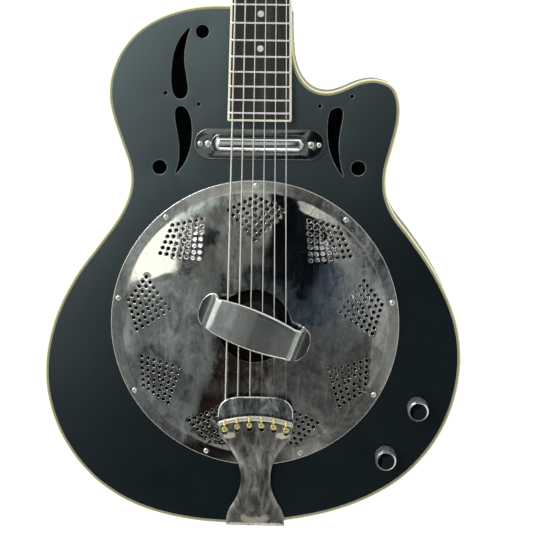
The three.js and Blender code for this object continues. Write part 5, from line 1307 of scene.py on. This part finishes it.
for t in TUNERS:
    n, x, s, side = 6 - t["string"], t["x"], t["s"], t["side"]
    # capstan, gear wheel with 14 teeth and its screw
    p = [(0, GZ + 0.6), (1.8, GZ + 0.6), (3.0, GZ + 0.6)]
    post = lathe([(0, GZ - 2.2), (3, GZ - 2.2), (3, 4.6), (2.85, 5.2), (2.55, 5.8), (2.45, 6.6), (2.55, 7.4), (2.85, 8.1), (3, 8.7), (3, 10.4), (2.7, 10.9), (0, 11.0)], 40)
    gear_o = []
    for k in range(14):
        a0 = 2 * math.pi * (k + 0.5) / 14 + math.pi / 2
        for da, r in ((-0.21, 4.35), (-0.15, 4.5), (-0.075, 5.15), (0.075, 5.15), (0.15, 4.5), (0.21, 4.35)):
            gear_o.append((r * math.cos(a0 + da), r * math.sin(a0 + da)))
    gear = plate(gear_o, [circle(0, 0, 2.9, 24)], lambda x_, y_: GZ - 0.1, lambda x_, y_: GZ - 2.9, 0.15, hole_mat=0)
    gs = moved(screw_head(2.3, 1.0, 0.28), lambda v: (v[0], v[1], GZ - 2.1 - v[2]))
    turns, coil = 3.6 if side < 0 else 3.2, []
    rs = max(STRING_D[t["string"]] / 2, 0.3)
    # the coil stops above the ferrule
    turns = min(turns, (6.3 - 1.5 - rs) / (2.08 * rs))
    for k in range(int(turns * 24) + 1):
        a = 2 * math.pi * k / 24
        hgt = 6.3 - 2 * rs * 1.04 * a / (2 * math.pi)
        rr = 2.62 + rs + (0.22 if hgt < 5.2 else 0.0)
        # starts where the string arrives, on the inner side
        coil.append(((-side * rr) * math.cos(a), rr * math.sin(a) * (1 if side > 0 else 1), hgt))
    wind = tube(coil, rs, 8)
    g = joined(tinted(post, 0), tinted(gear, 1), tinted(gs, 0), tinted(wind, 2))
    make(f"capstan_post_{n}", in_head(at(g, x, s, 0)), [TUNERM, BRASS, WOUND[t["string"]] if t["string"] < 3 else PLAIN], body=f"tuner_{n}_post", replaces=(f"tuner_post_{n}",), angle=40)
    ring_p = lathe(fillet([(3.15, -0.4), (4.25, -0.4), (4.25, 0.05), (6.1, 0.05), (5.6, 1.0), (3.15, 1.25)], [0, 0, 0, 0.2, 0.5, 0.3], 3, True), 48)
    make(f"post_ferrule_{n}", in_head(at(ring_p, x, s, 0)), TUNERM)
    # worm shaft with its thread and the oval button
    px, yc = side * 23.5, s + WORM_OFF
    shaft_g = moved(lathe([(0, -10.9), (1.35, -10.9), (1.5, -10.6), (1.5, 21.6), (0, 21.6)], 28), lambda v: (px + side * v[2], yc + v[1], WZ + v[0]))
    worm_c = moved(lathe([(0, -6.7), (2.0, -6.7), (2.15, -6.4), (2.15, 6.4), (2.0, 6.7), (0, 6.7)], 28), lambda v: (px + side * v[2], yc + v[1], WZ + v[0]))
    pitch, st = 2 * math.pi * 4.75 / 14, []
    tot = int(12.0 / pitch * 20)
    for k in range(tot + 1):
        a = 2 * math.pi * k / 20
        xx = -6.0 + 12.0 * k / tot
        e = min(1.0, k / 10, (tot - k) / 10)
        ca_, sa_ = math.cos(a), math.sin(a)
        prof_t = [(2.05, -0.62), (2.05 + 0.72 * e, -0.22), (2.05 + 0.72 * e, 0.22), (2.05, 0.62), (1.7, 0.0)]
        st.append([(px + (xx + dx), yc + r * ca_, WZ + r * sa_) for r, dx in prof_t])
    thread = loft(st)
    ov = []
    for zz, sc_ in ((-3.2, 0.62), (-3.1, 0.76), (-2.75, 0.88), (-2.1, 0.965), (-1.0, 1.0), (1.0, 1.0), (2.1, 0.965), (2.75, 0.88), (3.1, 0.76), (3.2, 0.62)):
        rr_ = []
        for i in range(48):
            a = 2 * math.pi * i / 48
            c = math.cos(a)
            rr_.append((side * (53.8 + 7.2 * sc_ * math.copysign(abs(c) ** 0.82, c) - (0.0 if c > 0 else 0.0)), yc + 8.6 * sc_ * math.sin(a), WZ + zz))
        ov.append(rr_)
    btn = loft(ov)
    collar = moved(lathe(fillet([(1.4, 20.6), (3.1, 20.6), (2.7, 22.9), (2.2, 24.4), (1.4, 24.4)], [0, 0.4, 0.6, 0.4, 0], 3, True), 32), lambda v: (px + side * v[2], yc + v[1], WZ + v[0]))
    g = joined(tinted(shaft_g, 0), tinted(worm_c, 0), tinted(thread, 0), tinted(collar, 0), tinted(btn, 1))
    make(f"tuner_key_{n}", in_head(g), [TUNERM, BUTTON], body=f"tuner_{n}_button", replaces=(f"tuner_button_{n}",), angle=40)

# ------------------------------------------------------------------ carried-over CAD nodes get finished materials
for node, m in (("neck_block", INNER), ("tail_block", INNER), ("soundwell", INNER), ("wiring", LEAD), ("pot_volume", STEEL), ("pot_tone", STEEL), ("truss_rod", STEEL)):
    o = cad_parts[node]
    o.data.materials.clear()
    o.data.materials.append(m)

# ------------------------------------------------------------------ stage, light and camera
def emitter(name, color, strength):
    m = bpy.data.materials.new(name)
    m.use_nodes = True
    nt = m.node_tree
    nt.nodes.clear()
    out, em = nt.nodes.new("ShaderNodeOutputMaterial"), nt.nodes.new("ShaderNodeEmission")
    em.inputs[0].default_value, em.inputs[1].default_value = (*color, 1), strength
    nt.links.new(em.outputs[0], out.inputs[0])
    return m


def card(name, corners, color, strength):
    """A studio card seen only in reflections. Corners in metres."""
    me = bpy.data.meshes.new(name)
    me.from_pydata(corners, [], [tuple(range(len(corners)))])
    me.materials.append(emitter(name, color, strength))
    o = bpy.data.objects.new(name, me)
    bpy.context.scene.collection.objects.link(o)
    o.visible_camera = o.visible_diffuse = o.visible_shadow = o.visible_transmission = o.visible_volume_scatter = False
    return o


me = bpy.data.meshes.new("studio_floor")
me.from_pydata([(-6, -6, -0.0006), (6, -6, -0.0006), (6, 6, -0.0006), (-6, 6, -0.0006)], [], [(0, 1, 2, 3)])
fl = Mat("white_sweep", Specular_IOR_Level=0.0, Emission_Strength=1.0)
fl.put(fl.b.inputs["Emission Color"], fl.mix(fl.rng(fl.noise(3, 3), 0.3, 0.7, 0, 1), (0.985, 0.985, 0.985), (1.0, 1.0, 1.0)))
me.materials.append(fl.out(fl.mix(fl.rng(fl.noise(4, 3), 0.3, 0.7, 0, 1), (0.55, 0.55, 0.55), (0.6, 0.6, 0.6)), fl.rng(fl.noise(5, 2), 0.3, 0.7, 0.7, 0.85)))
floor = bpy.data.objects.new("studio_floor", me)
bpy.context.scene.collection.objects.link(floor)

world = bpy.data.worlds.new("studio")
bpy.context.scene.world = world
world.use_nodes = True
wt = world.node_tree
wt.nodes.clear()
wo, bg, tc, sep, rp, dt, mr, mx = (wt.nodes.new(k) for k in ("ShaderNodeOutputWorld", "ShaderNodeBackground", "ShaderNodeTexCoord", "ShaderNodeSeparateXYZ", "ShaderNodeValToRGB", "ShaderNodeVectorMath", "ShaderNodeMapRange", "ShaderNodeMix"))
wt.links.new(tc.outputs["Generated"], sep.inputs[0])
wt.links.new(sep.outputs[2], rp.inputs[0])
els = rp.color_ramp.elements
els[0].position, els[0].color = 0.0, (1.0, 1.0, 0.98, 1)
els[1].position, els[1].color = 1.0, (0.034, 0.040, 0.046, 1)
for pos, c in ((0.30, (0.86, 0.87, 0.87)), (0.62, (0.52, 0.54, 0.545)), (0.80, (0.36, 0.38, 0.385)), (0.91, (0.22, 0.235, 0.24)), (0.97, (0.10, 0.11, 0.118))):
    els.new(pos).color = (*c, 1)
# brighter towards the upper left, dimmer towards the lower right
dt.operation = "DOT_PRODUCT"
dt.inputs[1].default_value = (-0.62, 0.78, 0.0)
wt.links.new(tc.outputs["Generated"], dt.inputs[0])
wt.links.new(dt.outputs["Value"], mr.inputs[0])
mr.inputs[1].default_value, mr.inputs[2].default_value, mr.inputs[3].default_value, mr.inputs[4].default_value = -0.7, 0.7, 0.55, 1.35
mx.data_type, mx.blend_type = "RGBA", "MULTIPLY"
mx.inputs[0].default_value = 1.0
wt.links.new(rp.outputs[0], mx.inputs[6])
wt.links.new(mr.outputs[0], mx.inputs[7])
wt.links.new(mx.outputs[2], bg.inputs[0])
bg.inputs[1].default_value = 1.0
wt.links.new(bg.outputs[0], wo.inputs[0])

H = 1.60
CONE_GLOW = [("glow_a", -0.0685, -0.0560, 0.0587, 0.0903, 0.0722), ("glow_b", 0.0566, 0.0735, 0.0634, 0.0800, 0.0722), ("glow_c", 0.0970, 0.1032, 0.0209, 0.0298, 0.0722)]
flat_card = lambda name, pts, color, strength, h=H: card(name, [(x, y, h) for x, y in pts], color, strength)
flat_card("card_left", [(-0.16, -0.28), (-0.24, -0.45), (-0.42, -0.75), (-0.95, -1.8), (-2.6, -1.8), (-2.6, 0.0), (-0.7, -0.02), (-0.40, -0.04), (-0.22, 0.0)], (0.94, 1.0, 0.99), 0.33, 1.64)
flat_card("card_right", [(-0.02, -0.30), (0.34, -0.25), (0.50, 0.02), (2.4, 0.15), (2.4, -1.9), (-0.02, -1.6)], (1.0, 1.0, 0.95), 0.165, 1.64)
flat_card("card_top_rim", [(-0.36, -0.06), (-0.10, -0.035), (-0.048, -0.03), (-0.035, 0.02), (-0.06, 0.09), (-0.12, 0.13), (-0.32, 0.14)], (1.0, 0.99, 0.93), 0.31, 1.59)
flat_card("card_left_dim", [(-0.98, -0.92), (-0.46, -0.80), (-0.36, -0.52), (-0.52, -0.40), (-0.86, -0.44), (-1.05, -0.66)], (0.94, 1.0, 0.99), 0.17, 1.60)
flat_card("card_right_edge", [(0.78, -0.20), (0.95, 0.06), (1.5, 0.12), (2.4, 0.14), (2.4, -1.7), (1.3, -1.3), (0.9, -0.8)], (1.0, 0.99, 0.95), 0.50, 1.63)
flat_card("card_cream", [(-0.46, 0.0), (-0.56, 0.16), (-0.60, 0.40), (-0.75, 0.68), (-0.88, 0.83), (-1.2, 0.95), (-2.1, 0.9), (-2.1, 0.14), (-1.5, 0.108), (-0.787, 0.035), (-0.613, 0.036)], (1.0, 0.985, 0.87), 1.34)
flat_card("card_back", [(-0.55, 1.55), (0.7, 1.6), (1.2, 5.0), (-0.9, 5.0)], (0.95, 1.0, 1.0), 0.12)
flat_card("card_pale_green", [(-0.86, 0.84), (-0.53, 0.62), (-0.40, 0.74), (-0.42, 1.1), (-0.8, 1.2)], (0.84, 1.0, 0.96), 0.75)
flat_card("card_sky", [(-3.0, 1.25), (-0.95, 1.35), (-0.95, 3.2), (-3.0, 3.2)], (0.90, 1.0, 0.985), 14.0)
flat_card("card_tube", [(-0.7, -5.0), (0.45, -5.0), (0.45, -2.4), (-0.7, -2.4)], (0.97, 1.0, 1.0), 3.4)
flat_card("card_top", [(-0.50, 0.55), (-0.06, 0.0), (-0.03, 0.05), (0.0, 0.18), (0.052, 0.49), (0.04, 0.90), (0.0, 1.6), (-0.4, 1.5)], (1.0, 0.995, 0.92), 0.46, 1.62)
flat_card("card_dark", [(0.06, 1.6), (0.052, 0.49), (0.003, 0.197), (-0.022, 0.10), (-0.20, 0.12), (-0.20, 0.02), (-0.042, -0.02), (-0.05, -0.169), (0.0, -0.18), (0.07, -0.177), (0.16, -0.15), (0.218, -0.02), (0.266, 0.069), (0.327, 0.145), (0.393, 0.268), (0.445, 0.419), (0.47, 0.572), (0.62, 1.6)], (0.75, 0.9, 1.2), 0.010)
flat_card("card_small", [(0.334, 0.95), (0.28, 0.66), (0.31, 0.61), (0.40, 0.585), (0.47, 0.60), (0.56, 0.72), (0.66, 1.0), (0.5, 1.1)], (1.0, 0.98, 0.86), 0.68, 1.58)
flat_card("card_pink", [(0.393, 0.25), (0.445, 0.40), (0.48, 0.57), (0.60, 0.95), (0.80, 1.1), (0.74, 0.64), (0.72, 0.5), (0.68, 0.21), (0.5, 0.10), (0.345, 0.14)], (1.0, 0.93, 0.88), 0.46)
flat_card("card_far_dark", [(0.74, 0.60), (0.72, 0.45), (0.70, 0.18), (1.6, 0.25), (1.9, 1.3), (0.9, 1.3)], (0.8, 0.9, 1.0), 0.05)
flat_card("card_blue", [(0.22, -0.02), (0.10, -0.17), (-0.02, -0.20), (0.0, -0.30), (0.10, -0.26), (0.24, -0.17), (0.50, -0.05), (0.40, 0.10), (0.34, 0.12)], (0.62, 0.85, 1.15), 0.095)
flat_card("card_wedge", [(-0.10, -0.24), (-0.205, -0.40), (-0.36, -0.70), (-0.75, -1.5), (-0.02, -1.6), (-0.09, -0.95), (-0.045, -0.61), (-0.022, -0.45), (-0.02, -0.26)], (1.30, 0.76, 0.55), 0.034, 1.60)
# light caught under the coverplate, seen through some of its holes as bright spots on the cone
for nm, x0, x1, y0, y1, hz in CONE_GLOW:
    card(nm, [(x0, y0, hz), (x1, y0, hz), (x1, y1, hz), (x0, y1, hz)], (1.0, 1.0, 0.99), {"glow_a": 3.4, "glow_b": 1.3, "glow_c": 1.6}[nm])


def area_light(name, loc, target, size, power, color):
    l = bpy.data.lights.new(name, "AREA")
    l.shape, l.size, l.size_y, l.energy, l.color = "RECTANGLE", size[0], size[1], power, color
    o = bpy.data.objects.new(name, l)
    o.location = loc
    o.rotation_mode = "QUATERNION"
    o.rotation_quaternion = (Vector(target) - Vector(loc)).to_track_quat("-Z", "Y")
    o.visible_camera = False
    bpy.context.scene.collection.objects.link(o)
    return o


area_light("key_soft", (-1.3, 1.0, 2.4), (0, 0, 0.05), (1.2, 1.2), 30, (1.0, 0.99, 0.95)).visible_glossy = False
area_light("fill_soft", (1.6, -0.5, 2.4), (0, 0, 0.05), (1.6, 1.6), 9, (0.95, 0.98, 1.0)).visible_glossy = False

cam_data = bpy.data.cameras.new("camera")
cam_data.sensor_width, cam_data.lens = 36.0, 114.82
cam_data.clip_start, cam_data.clip_end = 0.05, 50
cam = bpy.data.objects.new("camera", cam_data)
R = ((0.99914, -0.01747, 0.03769), (0.01222, 0.99072, 0.13537), (-0.03971, -0.1348, 0.99008))
q = Matrix(R).to_quaternion()
cam.rotation_mode = "QUATERNION"
cam.rotation_quaternion = q
cam.location = (0.065898, 0.262691, 1.607066)
bpy.context.scene.collection.objects.link(cam)
bpy.context.scene.camera = cam
bpy.context.scene.view_settings.view_transform = "Standard"
